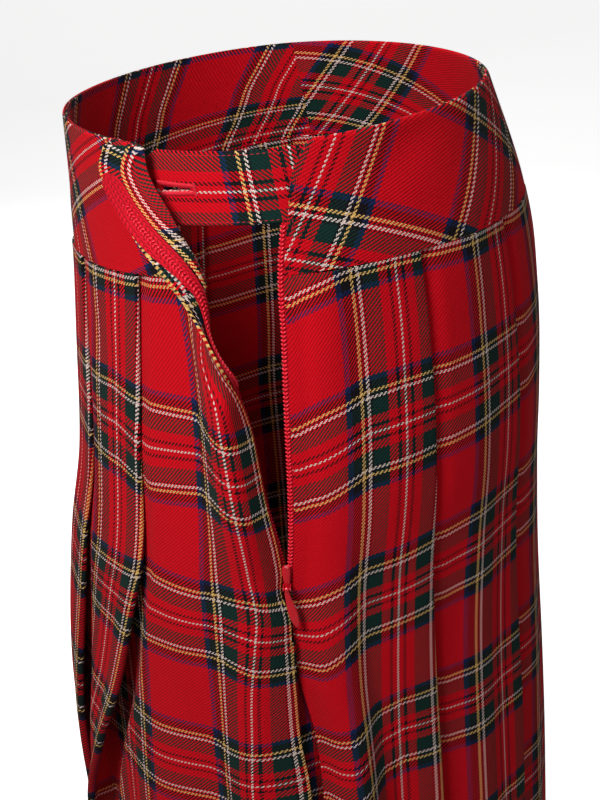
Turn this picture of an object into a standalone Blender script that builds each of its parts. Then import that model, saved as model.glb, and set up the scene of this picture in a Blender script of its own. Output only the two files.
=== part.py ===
"""Pleated tartan skirt with a fitted yoke, open at a side zip.

The skirt is built in the hollow form it has when worn. Z is up, the wearer's front is -Y and the
wearer's left side, with the zip, is +X. The origin is the middle of the waist opening.

Every cloth piece is a wall round horizontal rings of the worn form. A point of a wall is given by
drop (distance down the cloth from the waist edge), place (distance round the ring from the zip
line, positive towards the back) and lift (distance out from the ring).
"""
import math
from collections import namedtuple

import bmesh
import bpy
import numpy as np
from mathutils import Matrix, Vector

# Cloth and seams
CLOTH = 0.0012
YOKE_CLOTH = 0.0014
FACING_CLOTH = 0.0010
YOKE_BACK_CLOTH = 0.0027
TAB_CLOTH = 0.0020
TAPE_CLOTH = 0.0008
SEAM_GAP = 0.0003
SLOPED_GAP = 0.0008
LAID_GAP = 0.00045
TAPE_GAP = 0.0007

# Lengths down the cloth from the waist edge
YOKE_DEPTH = 0.0620
SKIRT_START = YOKE_DEPTH + SEAM_GAP
ZIP_END = 0.229
HEM = 0.58
YOKE_DIP = 0.008
DIP_FADE = 0.12

# The worn form: rings that the inner layer of the pleats lies on
SECTION_COLUMNS = ("drop", "height", "front_back_half", "side_half", "centre_y", "tilt")
SECTIONS = (
    (0.000, 0.0000, 0.1105, 0.1340, -0.004, 0.028),
    (0.062, -0.0605, 0.1205, 0.1385, 0.004, 0.055),
    (0.130, -0.1275, 0.1280, 0.1445, 0.006, 0.082),
    (0.190, -0.1870, 0.1305, 0.1485, 0.005, 0.096),
    (0.240, -0.2365, 0.1325, 0.1475, 0.001, 0.100),
    (0.330, -0.3260, 0.1330, 0.1450, -0.001, 0.094),
    (0.450, -0.4455, 0.1340, 0.1455, 0.000, 0.085),
    (0.580, -0.5750, 0.1355, 0.1470, 0.000, 0.080),
)
RING_ROUNDNESS = 1.85
RING_SAMPLES = 1440
DIRECTION_STEP = 0.001
DIP_STEP = 0.004

# Rows of points down the cloth
YOKE_ROWS = (0.0, 0.012, 0.030, 0.046, YOKE_DEPTH)
SKIRT_ROWS = (
    SKIRT_START, 0.095, 0.105, 0.115, 0.135, 0.175, 0.215, ZIP_END, 0.242, 0.260, 0.310, 0.380, 0.460, HEM,
)
INSET_ROWS = (0.260, 0.310, 0.380, 0.460, HEM)

# Knife pleats: pitch is the spacing of the three cloth layers, fold_back the depth of the underlay
PLEAT_COLUMNS = ("drop", "pitch", "fold_back", "opening")
PLEATS = (
    (0.062, 0.0017, 0.050, 0.0),
    (0.190, 0.0017, 0.052, 0.0),
    (0.260, 0.0022, 0.050, 0.25),
    (0.380, 0.0032, 0.047, 0.75),
    (0.580, 0.0040, 0.044, 1.0),
)
# One row for each visible face. Folds are fractions of the ring; swing and lift are what the
# fold edge at the face's end has moved at the hem, ridge is the height of its flute there, and
# rise and fall are how far the flute reaches before and after its crest.
Face = namedtuple("Face", "name start end swing lift ridge ridge_place rise fall")
FRONT_FACES = (
    Face("front_1", -0.5000, -0.4200, 0.003, 0.006, 0.005, 0.42, 0.34, 0.34),
    Face("front_2", -0.4200, -0.3400, -0.004, 0.008, 0.007, 0.50, 0.34, 0.30),
    Face("front_3", -0.3400, -0.2600, 0.002, 0.005, 0.006, 0.45, 0.34, 0.34),
    Face("front_4", -0.2600, -0.1800, -0.003, 0.007, 0.005, 0.40, 0.34, 0.34),
    Face("front_5", -0.1800, -0.0980, -0.030, 0.012, 0.004, 0.45, 0.34, 0.34),
)
ZIP_FACE = Face("front_6", -0.0980, 0.0, 0.0, 0.0, 0.005, 0.55, 0.45, 0.45)
BACK_FACES = (
    Face("back_1", 0.0, 0.0865, 0.002, 0.003, 0.016, 0.29, 0.29, 0.25),
    Face("back_2", 0.0865, 0.1680, -0.003, 0.005, 0.007, 0.48, 0.34, 0.34),
    Face("back_3", 0.1680, 0.2510, 0.002, 0.007, 0.006, 0.45, 0.34, 0.34),
    Face("back_4", 0.2510, 0.3340, -0.003, 0.006, 0.009, 0.40, 0.34, 0.28),
    Face("back_5", 0.3340, 0.4170, 0.004, 0.008, 0.005, 0.50, 0.34, 0.34),
    Face("back_6", 0.4170, 0.5000, -0.002, 0.005, 0.006, 0.45, 0.34, 0.34),
)
FACE_STEPS = (0.0, 0.05, 0.11, 0.18, 0.29, 0.41, 0.53, 0.65, 0.78, 0.90, 1.0)
ZIP_FACE_STEPS = (0.0, 0.13, 0.28, 0.46, 0.64, 0.82)
CLIMB = 0.013
INNER_CLEAR = 0.0145
CLOSED_RIDGE = 0.15
FOLD_LIFT_START = 0.4
FOLD_TURN = math.radians(30)
FOLD_MIDDLE = 0.45

# The front edge of the zip opening rolls outward like a lapel, more towards the waist
ROLL_COLUMNS = ("drop", "crease", "crest", "crest_lift", "edge", "edge_lift")
ROLL = (
    (0.000, -0.0710, -0.0530, 0.0038, -0.0705, 0.0085),
    (0.012, -0.0720, -0.0530, 0.0042, -0.0757, 0.0100),
    (0.030, -0.0648, -0.0442, 0.0060, -0.0650, 0.0125),
    (0.062, -0.0502, -0.0302, 0.0095, -0.0340, 0.0245),
    (0.095, -0.0462, -0.0335, 0.0118, -0.0222, 0.0228),
    (0.115, -0.0456, -0.0258, 0.0205, -0.0190, 0.0130),
    (0.135, -0.0457, -0.0250, 0.0195, -0.0165, 0.0065),
    (0.175, -0.0465, -0.0226, 0.0160, -0.0124, 0.0035),
    (0.215, -0.0465, -0.0190, 0.0085, -0.0052, 0.0010),
    (ZIP_END, -0.0460, -0.0195, 0.0075, -0.0051, 0.0006),
    (0.242, -0.0450, -0.0180, 0.0064, -0.0010, 0.0002),
    (0.260, -0.0440, -0.0180, 0.0060, -SEAM_GAP, 0.0000),
    (0.290, -0.0430, -0.0180, 0.0060, -SEAM_GAP, 0.0000),
    (HEM, -0.0400, -0.0180, 0.0060, -SEAM_GAP, 0.0000),
)
# The back edge of the opening: its top corner leans in, and it clears the slider at the bottom
BACK_EDGE_COLUMNS = ("drop", "edge", "edge_lift")
BACK_EDGE = (
    (0.000, 0.0265, 0.0030),
    (0.012, 0.0172, 0.0030),
    (0.030, 0.0112, 0.0030),
    (0.062, 0.0038, 0.0030),
    (0.095, 0.0021, 0.0030),
    (0.135, 0.0008, 0.0030),
    (0.175, 0.0006, 0.0030),
    (0.215, 0.0006, 0.0029),
    (ZIP_END, 0.0006, 0.0026),
    (0.242, SLOPED_GAP, 0.0012),
    (0.260, SLOPED_GAP, 0.0),
    (0.290, SLOPED_GAP, 0.0),
    (HEM, SLOPED_GAP, 0.0),
)
ROLL_RUN_IN = 0.010
ROLL_SAMPLES = 33
RISE_STOPS = (0.0, 0.4, 0.72)
CREST_ROUND = 0.0028
CREST_CLEAR = 0.0015
TAPE_STOPS = (1.0, 0.62, 0.30, 0.0)
TAPE_SPANS = 3
MATCHED_COLUMNS = 9
SINGLE_LIFT = 0.0030
SINGLE_END = 0.225
SINGLE_FADE = 0.030
YOKE_LIFT = 0.0030
YOKE_BACK_LIFT = 0.00235
FACING_LIFT_BELOW = 0.00162
YOKE_STEPS = 48

# Zip
TAPE_WIDTH = 0.013
TAPE_BACK_TOP = 0.0378
TAPE_BACK_REACH = 0.0025
TAPE_SETBACK = 0.0018
TAPE_SETBACK_RUN = 0.030
TAPE_ROWS = (
    0.012, 0.030, 0.046, YOKE_DEPTH, SKIRT_START, 0.095, 0.105, 0.115, 0.135, 0.175, 0.215, ZIP_END,
)
TAPE_BACK_ROWS = (TAPE_BACK_TOP, YOKE_DEPTH, 0.095, 0.105, 0.115, 0.135, 0.175, 0.215, ZIP_END)
SLIDER_DROP = 0.2195
SLIDER_PLACE = -0.0024
SLIDER_LENGTH = 0.0130
SLIDER_WIDTH = 0.0046
SLIDER_INNER_LIFT = 0.0024
SLIDER_THICK = 0.0034
PIN_DROP = 0.2240
PIN_LIFT = 0.0076
PIN_RADIUS = 0.0005
LUG_RADIUS = 0.0012
LUG_THICK = 0.0007
LUG_PLACE = 0.00175
LUG_ROOT = 0.0012
KNUCKLE_RADIUS = 0.0014
KNUCKLE_BORE = 0.00085
KNUCKLE_WIDTH = 0.0022
PULL_LENGTH = 0.0215
PULL_WIDTH = 0.0048
PULL_NECK = 0.0026
PULL_THICK = 0.0012
PULL_STEPS = (0.0, 0.12, 0.3, 0.5, 0.68, 0.82, 0.92, 0.98)
PULL_WIDEST = 0.68
PULL_ROUND_END = 0.33
PULL_ROOT = 0.8
PULL_SWAY_START = 0.002
PULL_SWAY = 0.2
LUG_STEPS = 8
DISC_SIDES = 16
PIN_SIDES = 10
SLIDER_BEVEL = 0.0007

# Tab across the opening, with its button inside the front yoke
TAB_LIFT = -0.0006
TAB_FRONT_END = -0.066
TAB_BACK_END = 0.042
TAB_TOP = 0.004
TAB_BOTTOM = 0.037
TAB_CHAMFER = 0.006
TAB_STEPS = 24
BUTTON_RADIUS = 0.0075
BUTTON_THICK = 0.0026
BUTTON_DROP = 0.0205
BUTTON_PLACE = -0.084
BUTTON_OUTER_LIFT = 0.0003
BUTTON_TAPER = 0.92
BUTTON_SIDES = 20
SHARP_ANGLE = math.radians(50)

RED_CLOTH = (0.55, 0.01, 0.02)
ZIP_RED = (0.62, 0.01, 0.03)
BUTTON_RED = (0.40, 0.01, 0.02)


def clear_scene():
    """Remove what the new file starts with."""
    for item in list(bpy.data.objects):
        bpy.data.objects.remove(item, do_unlink=True)


def make_material(name, colour, roughness, metallic=0.0):
    """A plain Principled material."""
    material = bpy.data.materials.new(name)
    material.use_nodes = True
    shader = material.node_tree.nodes["Principled BSDF"]
    shader.inputs["Base Color"].default_value = (*colour, 1.0)
    shader.inputs["Roughness"].default_value = roughness
    shader.inputs["Metallic"].default_value = metallic
    return material


def smooth_step(value):
    """0 below 0, 1 above 1, smooth between."""
    value = min(max(value, 0.0), 1.0)
    return value * value * (3.0 - 2.0 * value)


def read_table(rows, columns, drop):
    """The table's values at a drop, on smooth curves through its rows, as a dictionary."""
    keys = [row[0] for row in rows]
    drop = min(max(drop, keys[0]), keys[-1])
    index = min(max(int(np.searchsorted(keys, drop)) - 1, 0), len(rows) - 2)
    span = keys[index + 1] - keys[index]
    part = (drop - keys[index]) / span
    result = {"drop": drop}
    for column in range(1, len(columns)):
        low = rows[index][column]
        high = rows[index + 1][column]
        before = rows[max(index - 1, 0)]
        after = rows[min(index + 2, len(rows) - 1)]
        slope_low = (high - before[column]) / (keys[index + 1] - before[0]) * span
        slope_high = (after[column] - low) / (after[0] - keys[index]) * span
        square = part * part
        cube = square * part
        result[columns[column]] = (
            (2 * cube - 3 * square + 1) * low + (cube - 2 * square + part) * slope_low
            + (3 * square - 2 * cube) * high + (cube - square) * slope_high)
    return result


class Ring:
    """One ring of the worn form, measured round from the zip line."""

    def __init__(self, drop):
        section = read_table(SECTIONS, SECTION_COLUMNS, drop)
        self.drop = drop
        self.section = section
        angle = np.linspace(-math.pi, math.pi, RING_SAMPLES + 1)
        power = 2.0 / RING_ROUNDNESS
        self.x = np.sign(np.cos(angle)) * np.abs(np.cos(angle)) ** power * section["side_half"]
        self.y = np.sign(np.sin(angle)) * np.abs(np.sin(angle)) ** power * section["front_back_half"]
        steps = np.hypot(np.diff(self.x), np.diff(self.y))
        length = np.concatenate([[0.0], np.cumsum(steps)])
        self.perimeter = float(length[-1])
        self.length = length - length[RING_SAMPLES // 2]

    def point(self, place, lift):
        """World point at a place round the ring and a lift out from it."""
        half = self.perimeter / 2
        place = (place + half) % self.perimeter - half
        x = float(np.interp(place, self.length, self.x))
        y = float(np.interp(place, self.length, self.y))
        ahead = (place + DIRECTION_STEP + half) % self.perimeter - half
        behind = (place - DIRECTION_STEP + half) % self.perimeter - half
        run_x = float(np.interp(ahead, self.length, self.x) - np.interp(behind, self.length, self.x))
        run_y = float(np.interp(ahead, self.length, self.y) - np.interp(behind, self.length, self.y))
        size = math.hypot(run_x, run_y)
        x += run_y / size * lift
        y += -run_x / size * lift + self.section["centre_y"]
        return (x, y, self.section["height"] + self.section["tilt"] * y)


def dipped_drop(drop, fraction):
    """Lower the yoke seam a little towards the middle of the front and of the back."""
    if drop <= YOKE_DEPTH:
        share = drop / YOKE_DEPTH
    else:
        share = 1.0 - smooth_step((drop - YOKE_DEPTH) / DIP_FADE)
    return drop + YOKE_DIP * share * math.sin(2 * math.pi * fraction) ** 2


def place_points(ring, line):
    """World points of one row, each let down by the dip of the yoke seam."""
    below = Ring(min(ring.drop + DIP_STEP, HEM))
    points = []
    for place, lift in line:
        extra = dipped_drop(ring.drop, place / ring.perimeter) - ring.drop
        upper = ring.point(place, lift)
        if below.drop <= ring.drop:
            points.append((upper[0], upper[1], upper[2] - extra))
            continue
        lower = below.point(place * below.perimeter / ring.perimeter, lift)
        part = extra / (below.drop - ring.drop)
        points.append(tuple(a + (b - a) * part for a, b in zip(upper, lower)))
    return points


def offset_line(line, distance):
    """The line moved sideways in (place, lift), to its left, with mitred corners."""
    points = np.array(line)
    runs = np.diff(points, axis=0)
    runs /= np.linalg.norm(runs, axis=1)[:, None]
    sides = np.stack([-runs[:, 1], runs[:, 0]], axis=1)
    first = np.vstack([sides[:1], sides])
    last = np.vstack([sides, sides[-1:]])
    mean = first + last
    mean /= np.linalg.norm(mean, axis=1)[:, None]
    stretch = 1.0 / np.maximum(np.sum(mean * last, axis=1), 0.6)
    return points + mean * (stretch * distance)[:, None]


def wall(name, drops, lines, thickness, material, shift=0.0, matched=0):
    """A closed wall of cloth along one (place, lift) line for each drop.

    The last matched columns are cut into triangles the same way in each wall that has them.
    """
    outer = []
    inner = []
    for drop, line in zip(drops, lines):
        ring = Ring(drop)
        outer.append(place_points(ring, offset_line(line, shift + thickness / 2)))
        inner.append(place_points(ring, offset_line(line, shift - thickness / 2)))
    mesh = bmesh.new()
    outer = [[mesh.verts.new(point) for point in row] for row in outer]
    inner = [[mesh.verts.new(point) for point in row] for row in inner]
    rows = len(outer)
    columns = len(outer[0])
    for row in range(rows - 1):
        for column in range(columns - 1):
            for grid in (outer, inner):
                corners = (grid[row][column], grid[row][column + 1],
                           grid[row + 1][column + 1], grid[row + 1][column])
                if column >= columns - matched:
                    mesh.faces.new(corners[:3])
                    mesh.faces.new((corners[0], corners[2], corners[3]))
                else:
                    mesh.faces.new(corners)
        for column in (0, columns - 1):
            mesh.faces.new((outer[row][column], outer[row + 1][column],
                            inner[row + 1][column], inner[row][column]))
    for row in (0, rows - 1):
        for column in range(columns - 1):
            mesh.faces.new((outer[row][column], outer[row][column + 1],
                            inner[row][column + 1], inner[row][column]))
    return finish_mesh(name, mesh, material)


def finish_mesh(name, mesh, material):
    """Turn a closed bmesh into a named object with its faces pointing out."""
    bmesh.ops.recalc_face_normals(mesh, faces=mesh.faces)
    bmesh.ops.triangulate(mesh, faces=mesh.faces)
    data = bpy.data.meshes.new(name)
    mesh.to_mesh(data)
    mesh.free()
    data.shade_smooth()
    data.set_sharp_from_angle(angle=SHARP_ANGLE)
    data.materials.append(material)
    item = bpy.data.objects.new(name, data)
    bpy.context.scene.collection.objects.link(item)
    return item


def bump(part, face):
    """The round flute of a face, of height 1 at its crest."""
    reach = face.rise if part < face.ridge_place else face.fall
    distance = min(abs(part - face.ridge_place) / reach, 1.0)
    return 0.5 + 0.5 * math.cos(math.pi * distance)


def single_share(drop):
    """1 beside the zip, where the cloth has no underlay, and 0 below it."""
    return 1.0 - smooth_step((drop - SINGLE_END) / SINGLE_FADE)


def face_lift(part, run, width, pleat, face):
    """How far a pleat's face stands out at a part of its width, and the lift of its fold."""
    rise = 2 * pleat["pitch"] * smooth_step(run / CLIMB)
    grown = CLOSED_RIDGE + (1.0 - CLOSED_RIDGE) * pleat["opening"]
    flute = face.ridge * grown * bump(part, face)
    return rise + flute + fold_lift(run, width, pleat, face)


def fold_lift(run, width, pleat, face):
    """The lift that the opened pleat has over the last part of its face."""
    share = (run / width - FOLD_LIFT_START) / (1.0 - FOLD_LIFT_START)
    return face.lift * pleat["opening"] * smooth_step(share)


def face_line(ring, pleat, face):
    """The visible face of a pleat, from under the last fold to its own fold."""
    start = face.start * ring.perimeter
    end = face.end * ring.perimeter + face.swing * pleat["opening"]
    width = end - start
    line = []
    for part in FACE_STEPS:
        line.append((start + width * part, face_lift(part, width * part, width, pleat, face)))
    return line, start, end


def underlay_line(start, end, pleat, face):
    """The cloth from a fold edge back under its face and forward again to the next face."""
    radius = pleat["pitch"] / 2
    width = end - start
    top = 2 * pleat["pitch"] + fold_lift(width, width, pleat, face)
    inner = max(end - pleat["fold_back"], start + INNER_CLEAR)
    middle = end - (end - inner) * FOLD_MIDDLE
    line = []
    for angle in (FOLD_TURN, -FOLD_TURN):
        line.append((end + radius * math.cos(angle), top - radius + radius * math.sin(angle)))
    line.append((end, top - 2 * radius))
    line.append((middle, pleat["pitch"] + fold_lift(middle - start, width, pleat, face)))
    line.append((inner, pleat["pitch"] + fold_lift(inner - start, width, pleat, face)))
    for angle in (FOLD_TURN, -FOLD_TURN):
        line.append((inner - radius * math.cos(angle), radius + radius * math.sin(angle)))
    line.append((inner, 0.0))
    line.append((middle, 0.0))
    return line


def roll_line(drop, lift):
    """The front edge of the opening, from its crease over the crest to the free edge."""
    roll = read_table(ROLL, ROLL_COLUMNS, drop)
    knots = np.array([
        (roll["crease"] - ROLL_RUN_IN, 0.0),
        (roll["crease"], 0.0),
        (roll["crest"], roll["crest_lift"]),
        (roll["edge"], roll["edge_lift"]),
    ])
    knots = np.vstack([knots, 2 * knots[-1] - knots[-2]])
    dense = []
    for index in (1, 2):
        before, low, high, after = knots[index - 1:index + 3]
        for part in np.linspace(0.0, 1.0, ROLL_SAMPLES)[index - 1:]:
            dense.append(0.5 * (2 * low + (high - before) * part
                                + (2 * before - 5 * low + 4 * high - after) * part ** 2
                                + (3 * low - before - 3 * high + after) * part ** 3))
    dense = np.array(dense)
    length = np.concatenate([[0.0], np.cumsum(np.linalg.norm(np.diff(dense, axis=0), axis=1))])
    crest = length[ROLL_SAMPLES - 1]
    width = min(TAPE_WIDTH, length[-1] - crest - CREST_ROUND - CREST_CLEAR)
    stops = [crest * share for share in RISE_STOPS] + [crest - CREST_ROUND, crest + CREST_ROUND]
    stops += [length[-1] - width * share for share in TAPE_STOPS]
    places = np.interp(stops, length, dense[:, 0])
    lifts = np.interp(stops, length, dense[:, 1]) + lift
    return list(zip(places, lifts))


def zip_face_line(ring, pleat):
    """The front face beside the zip: flat to the crease, then rolled outward to its edge."""
    start = ZIP_FACE.start * ring.perimeter
    single = single_share(ring.drop)
    top = single * SINGLE_LIFT + (1.0 - single) * 2 * pleat["pitch"]
    roll = roll_line(ring.drop, top)
    width = roll[0][0] - start
    line = []
    for part in ZIP_FACE_STEPS:
        rise = top * smooth_step(width * part / CLIMB)
        flute = ZIP_FACE.ridge * pleat["opening"] * bump(part, ZIP_FACE)
        line.append((start + width * part, rise + flute))
    return line + roll


def skirt_front_line(drop):
    """Front panel: five pleats and the face that ends at the zip."""
    ring = Ring(drop)
    pleat = read_table(PLEATS, PLEAT_COLUMNS, drop)
    line = []
    for face in FRONT_FACES:
        visible, start, end = face_line(ring, pleat, face)
        line += visible + underlay_line(start, end, pleat, face)
    line[0] = (line[0][0] + SLOPED_GAP, line[0][1])
    return line + zip_face_line(ring, pleat)


def skirt_back_line(drop):
    """Back panel: from the zip round to the seam on the wearer's right side."""
    ring = Ring(drop)
    pleat = read_table(PLEATS, PLEAT_COLUMNS, drop)
    edge = read_table(BACK_EDGE, BACK_EDGE_COLUMNS, drop)
    single = single_share(drop)
    line = []
    for index, face in enumerate(BACK_FACES):
        visible, start, end = face_line(ring, pleat, face)
        if index == 0:
            visible = [(edge["edge"] + place * (1 - edge["edge"] / end),
                        single * max(lift, edge["edge_lift"]) + (1 - single) * lift)
                       for place, lift in visible]
        line += visible + underlay_line(start, end, pleat, face)
    line.append((BACK_FACES[-1].end * ring.perimeter - SEAM_GAP, 0.0))
    return line


def inset_line(drop):
    """The underlay of the pleat below the zip: round the fold, back, and forward again."""
    ring = Ring(drop)
    pleat = read_table(PLEATS, PLEAT_COLUMNS, drop)
    start = ZIP_FACE.start * ring.perimeter
    fold = [(0.0, 2 * pleat["pitch"])] + underlay_line(start, 0.0, pleat, ZIP_FACE)
    return fold + [(0.0, 0.0)]


def yoke_front_line(drop):
    """Front yoke: round the front to the crease, then rolled out with the opening's edge."""
    ring = Ring(drop)
    roll = roll_line(drop, YOKE_LIFT)
    start = -ring.perimeter / 2 + SEAM_GAP
    places = np.linspace(start, roll[0][0], YOKE_STEPS + 1)[:-1]
    return [(place, YOKE_LIFT) for place in places] + roll


def yoke_back_line(drop):
    """Back yoke: from the back edge of the opening round to the right side seam."""
    ring = Ring(drop)
    edge = read_table(BACK_EDGE, BACK_EDGE_COLUMNS, drop)
    places = np.linspace(edge["edge"], ring.perimeter / 2 - SEAM_GAP, YOKE_STEPS + 1)
    return [(place, YOKE_BACK_LIFT) for place in places]


def facing_line(drop):
    """The facing inside the front yoke stops where the zip tape begins."""
    line = yoke_front_line(drop)[:-TAPE_SPANS]
    before = np.array(line[-2])
    last = np.array(line[-1])
    shortened = last - (last - before) / np.linalg.norm(last - before) * LAID_GAP
    return line[:-1] + [tuple(shortened)]


def tape_front_line(drop):
    """The front tape lies on the inner side of the last stretch of the rolled edge."""
    if drop <= YOKE_DEPTH:
        return roll_line(drop, YOKE_LIFT)[-4:]
    ring = Ring(drop)
    line = zip_face_line(ring, read_table(PLEATS, PLEAT_COLUMNS, drop))[-4:]
    first, second = np.array(line[0]), np.array(line[1])
    setback = TAPE_SETBACK * smooth_step((drop - SKIRT_START) / TAPE_SETBACK_RUN)
    moved = first + (second - first) / np.linalg.norm(second - first) * setback
    return [tuple(moved)] + line[1:]


def tape_back_line(drop):
    """The back tape lies inside the back edge and stands a little past it."""
    edge = read_table(BACK_EDGE, BACK_EDGE_COLUMNS, drop)
    inside = YOKE_BACK_LIFT - YOKE_BACK_CLOTH / 2
    if drop > YOKE_DEPTH:
        inside = single_share(drop) * edge["edge_lift"] - CLOTH / 2
    lift = inside - SEAM_GAP - TAPE_CLOTH / 2
    left = edge["edge"] - TAPE_BACK_REACH
    return [(left + TAPE_WIDTH * part, lift) for part in (0.0, 0.33, 0.67, 1.0)]


def build_tab(material):
    """The buttoning tab: a doubled strip whose free end has both corners cut."""
    drops = (TAB_TOP, TAB_TOP + TAB_CHAMFER, TAB_BOTTOM - TAB_CHAMFER, TAB_BOTTOM)
    lines = []
    for row in range(len(drops)):
        end = TAB_FRONT_END + (TAB_CHAMFER if row in (0, 3) else 0.0)
        places = np.linspace(end, TAB_BACK_END, TAB_STEPS + 1)
        lines.append([(place, TAB_LIFT) for place in places])
    wall("waist_tab", drops, lines, TAB_CLOTH, material)


def side_frame(drop, lift):
    """Position of the slider at the zip, and the lean of the cloth there about Y."""
    above = Ring(drop - 0.005).point(SLIDER_PLACE, lift)
    below = Ring(drop + 0.005).point(SLIDER_PLACE, lift)
    here = Ring(drop).point(SLIDER_PLACE, lift)
    return here, math.atan2(below[0] - above[0], above[2] - below[2])


def add_box(name, size, centre, bevel=0.0):
    """A box, with its edges bevelled if bevel is set."""
    mesh = bmesh.new()
    bmesh.ops.create_cube(mesh, size=1.0)
    bmesh.ops.scale(mesh, vec=size, verts=mesh.verts)
    bmesh.ops.translate(mesh, vec=centre, verts=mesh.verts)
    if bevel:
        bmesh.ops.bevel(mesh, geom=list(mesh.edges), offset=bevel, segments=2,
                        profile=0.5, affect="EDGES")
    return add_object(name, mesh)


def add_disc(name, radius, length, centre, sides=DISC_SIDES):
    """A cylinder along Y."""
    mesh = bmesh.new()
    bmesh.ops.create_cone(mesh, cap_ends=True, segments=sides, radius1=radius, radius2=radius,
                          depth=length)
    bmesh.ops.rotate(mesh, cent=(0, 0, 0), matrix=Matrix.Rotation(math.pi / 2, 3, "X"),
                     verts=mesh.verts)
    bmesh.ops.translate(mesh, vec=centre, verts=mesh.verts)
    return add_object(name, mesh)


def add_plate(name, outline, thickness):
    """A flat plate: the (x, z) outline given a thickness along Y about y = 0."""
    mesh = bmesh.new()
    sides = [[mesh.verts.new((x, y, z)) for x, z in outline]
             for y in (-thickness / 2, thickness / 2)]
    mesh.faces.new(sides[0])
    mesh.faces.new(reversed(sides[1]))
    for index in range(len(outline)):
        after = (index + 1) % len(outline)
        mesh.faces.new((sides[0][index], sides[1][index], sides[1][after], sides[0][after]))
    bmesh.ops.recalc_face_normals(mesh, faces=mesh.faces)
    return add_object(name, mesh)


def add_object(name, mesh):
    """Link a bmesh to the scene as an object."""
    data = bpy.data.meshes.new(name)
    mesh.to_mesh(data)
    mesh.free()
    item = bpy.data.objects.new(name, data)
    bpy.context.scene.collection.objects.link(item)
    return item


def join_parts(base, parts):
    """Unite the parts with the base by Boolean modifiers and hide them."""
    for part in parts:
        part.hide_render = True
        part.display_type = "WIRE"
        part.parent = base
        union = base.modifiers.new(part.name, "BOOLEAN")
        union.operation = "UNION"
        union.solver = "EXACT"
        union.object = part


def build_slider(material):
    """Slider body with two lugs and the pin that carries the pull."""
    (x, y, z), lean = side_frame(SLIDER_DROP, SLIDER_INNER_LIFT)
    body = add_box("zip_slider", (SLIDER_THICK, SLIDER_WIDTH, SLIDER_LENGTH),
                   (SLIDER_THICK / 2, 0.0, 0.0), bevel=SLIDER_BEVEL)
    body.location = (x, y, z)
    body.rotation_euler = (0.0, -lean, 0.0)
    pin_z = -(PIN_DROP - SLIDER_DROP)
    pin_x = PIN_LIFT - SLIDER_INNER_LIFT
    parts = [add_disc("slider_pin", PIN_RADIUS, 2 * LUG_PLACE, (pin_x, 0.0, pin_z), PIN_SIDES)]
    foot = SLIDER_THICK - LUG_ROOT
    outline = [(foot, pin_z - LUG_RADIUS)]
    for step in range(LUG_STEPS + 1):
        angle = -math.pi / 2 + math.pi * step / LUG_STEPS
        outline.append((pin_x + LUG_RADIUS * math.cos(angle), pin_z + LUG_RADIUS * math.sin(angle)))
    outline.append((foot, pin_z + LUG_RADIUS))
    for side in (-1, 1):
        lug = add_plate("slider_lug", outline, LUG_THICK)
        lug.location.y = side * LUG_PLACE
        parts.append(lug)
    join_parts(body, parts)
    body.data.materials.append(material)
    return body


def pull_outline():
    """Half width of the teardrop pull at points down its length."""
    rows = []
    for part in PULL_STEPS:
        if part < PULL_WIDEST:
            half = PULL_NECK / 2 + (PULL_WIDTH - PULL_NECK) / 2 * smooth_step(part / PULL_WIDEST)
        else:
            half = PULL_WIDTH / 2 * math.sqrt(1.0 - ((part - PULL_WIDEST) / PULL_ROUND_END) ** 2)
        rows.append((part * PULL_LENGTH, half))
    return rows


def build_pull(material, slider):
    """Flat teardrop that hangs from the pin by a knuckle, its origin on the hinge axis."""
    bpy.context.view_layer.update()
    local = (PIN_LIFT - SLIDER_INNER_LIFT, 0.0, -(PIN_DROP - SLIDER_DROP))
    start = KNUCKLE_RADIUS * PULL_ROOT
    rows = [(PULL_SWAY * max(down - PULL_SWAY_START, 0.0), half, -start - down)
            for down, half in pull_outline()]
    outline = [(middle + half, height) for middle, half, height in rows]
    outline += [(middle - half, height) for middle, half, height in reversed(rows)]
    pull = add_plate("zip_pull", outline, PULL_THICK)
    pull.data.transform(Matrix.Rotation(math.pi / 2, 4, "Z"))
    knuckle = add_disc("pull_knuckle", KNUCKLE_RADIUS, KNUCKLE_WIDTH, (0, 0, 0))
    bore = add_disc("pull_bore", KNUCKLE_BORE, KNUCKLE_WIDTH * 2, (0, 0, 0))
    join_parts(pull, [knuckle])
    bore.hide_render = True
    bore.display_type = "WIRE"
    bore.parent = pull
    cut = pull.modifiers.new("bore", "BOOLEAN")
    cut.operation = "DIFFERENCE"
    cut.solver = "EXACT"
    cut.object = bore
    pull.location = slider.matrix_world @ Vector(local)
    pull.data.materials.append(material)
    return pull


def build_button(material):
    """A flat button with a low rim inside the front yoke, where the tab reaches it."""
    ring = Ring(BUTTON_DROP)
    outer = Vector(ring.point(BUTTON_PLACE, BUTTON_OUTER_LIFT))
    along = Vector(ring.point(BUTTON_PLACE + BUTTON_RADIUS, BUTTON_OUTER_LIFT))
    along -= Vector(ring.point(BUTTON_PLACE - BUTTON_RADIUS, BUTTON_OUTER_LIFT))
    down = Vector(Ring(BUTTON_DROP + BUTTON_RADIUS).point(BUTTON_PLACE, BUTTON_OUTER_LIFT))
    down -= Vector(Ring(BUTTON_DROP - BUTTON_RADIUS).point(BUTTON_PLACE, BUTTON_OUTER_LIFT))
    inward = along.cross(down).normalized()
    if inward.dot(outer) > 0:
        inward.negate()
    mesh = bmesh.new()
    bmesh.ops.create_cone(mesh, cap_ends=True, segments=BUTTON_SIDES,
                          radius1=BUTTON_RADIUS, radius2=BUTTON_RADIUS * BUTTON_TAPER, depth=BUTTON_THICK)
    item = finish_mesh("tab_button", mesh, material)
    item.location = outer + inward * BUTTON_THICK / 2
    item.rotation_euler = inward.to_track_quat("Z", "Y").to_euler()
    return item


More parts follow.
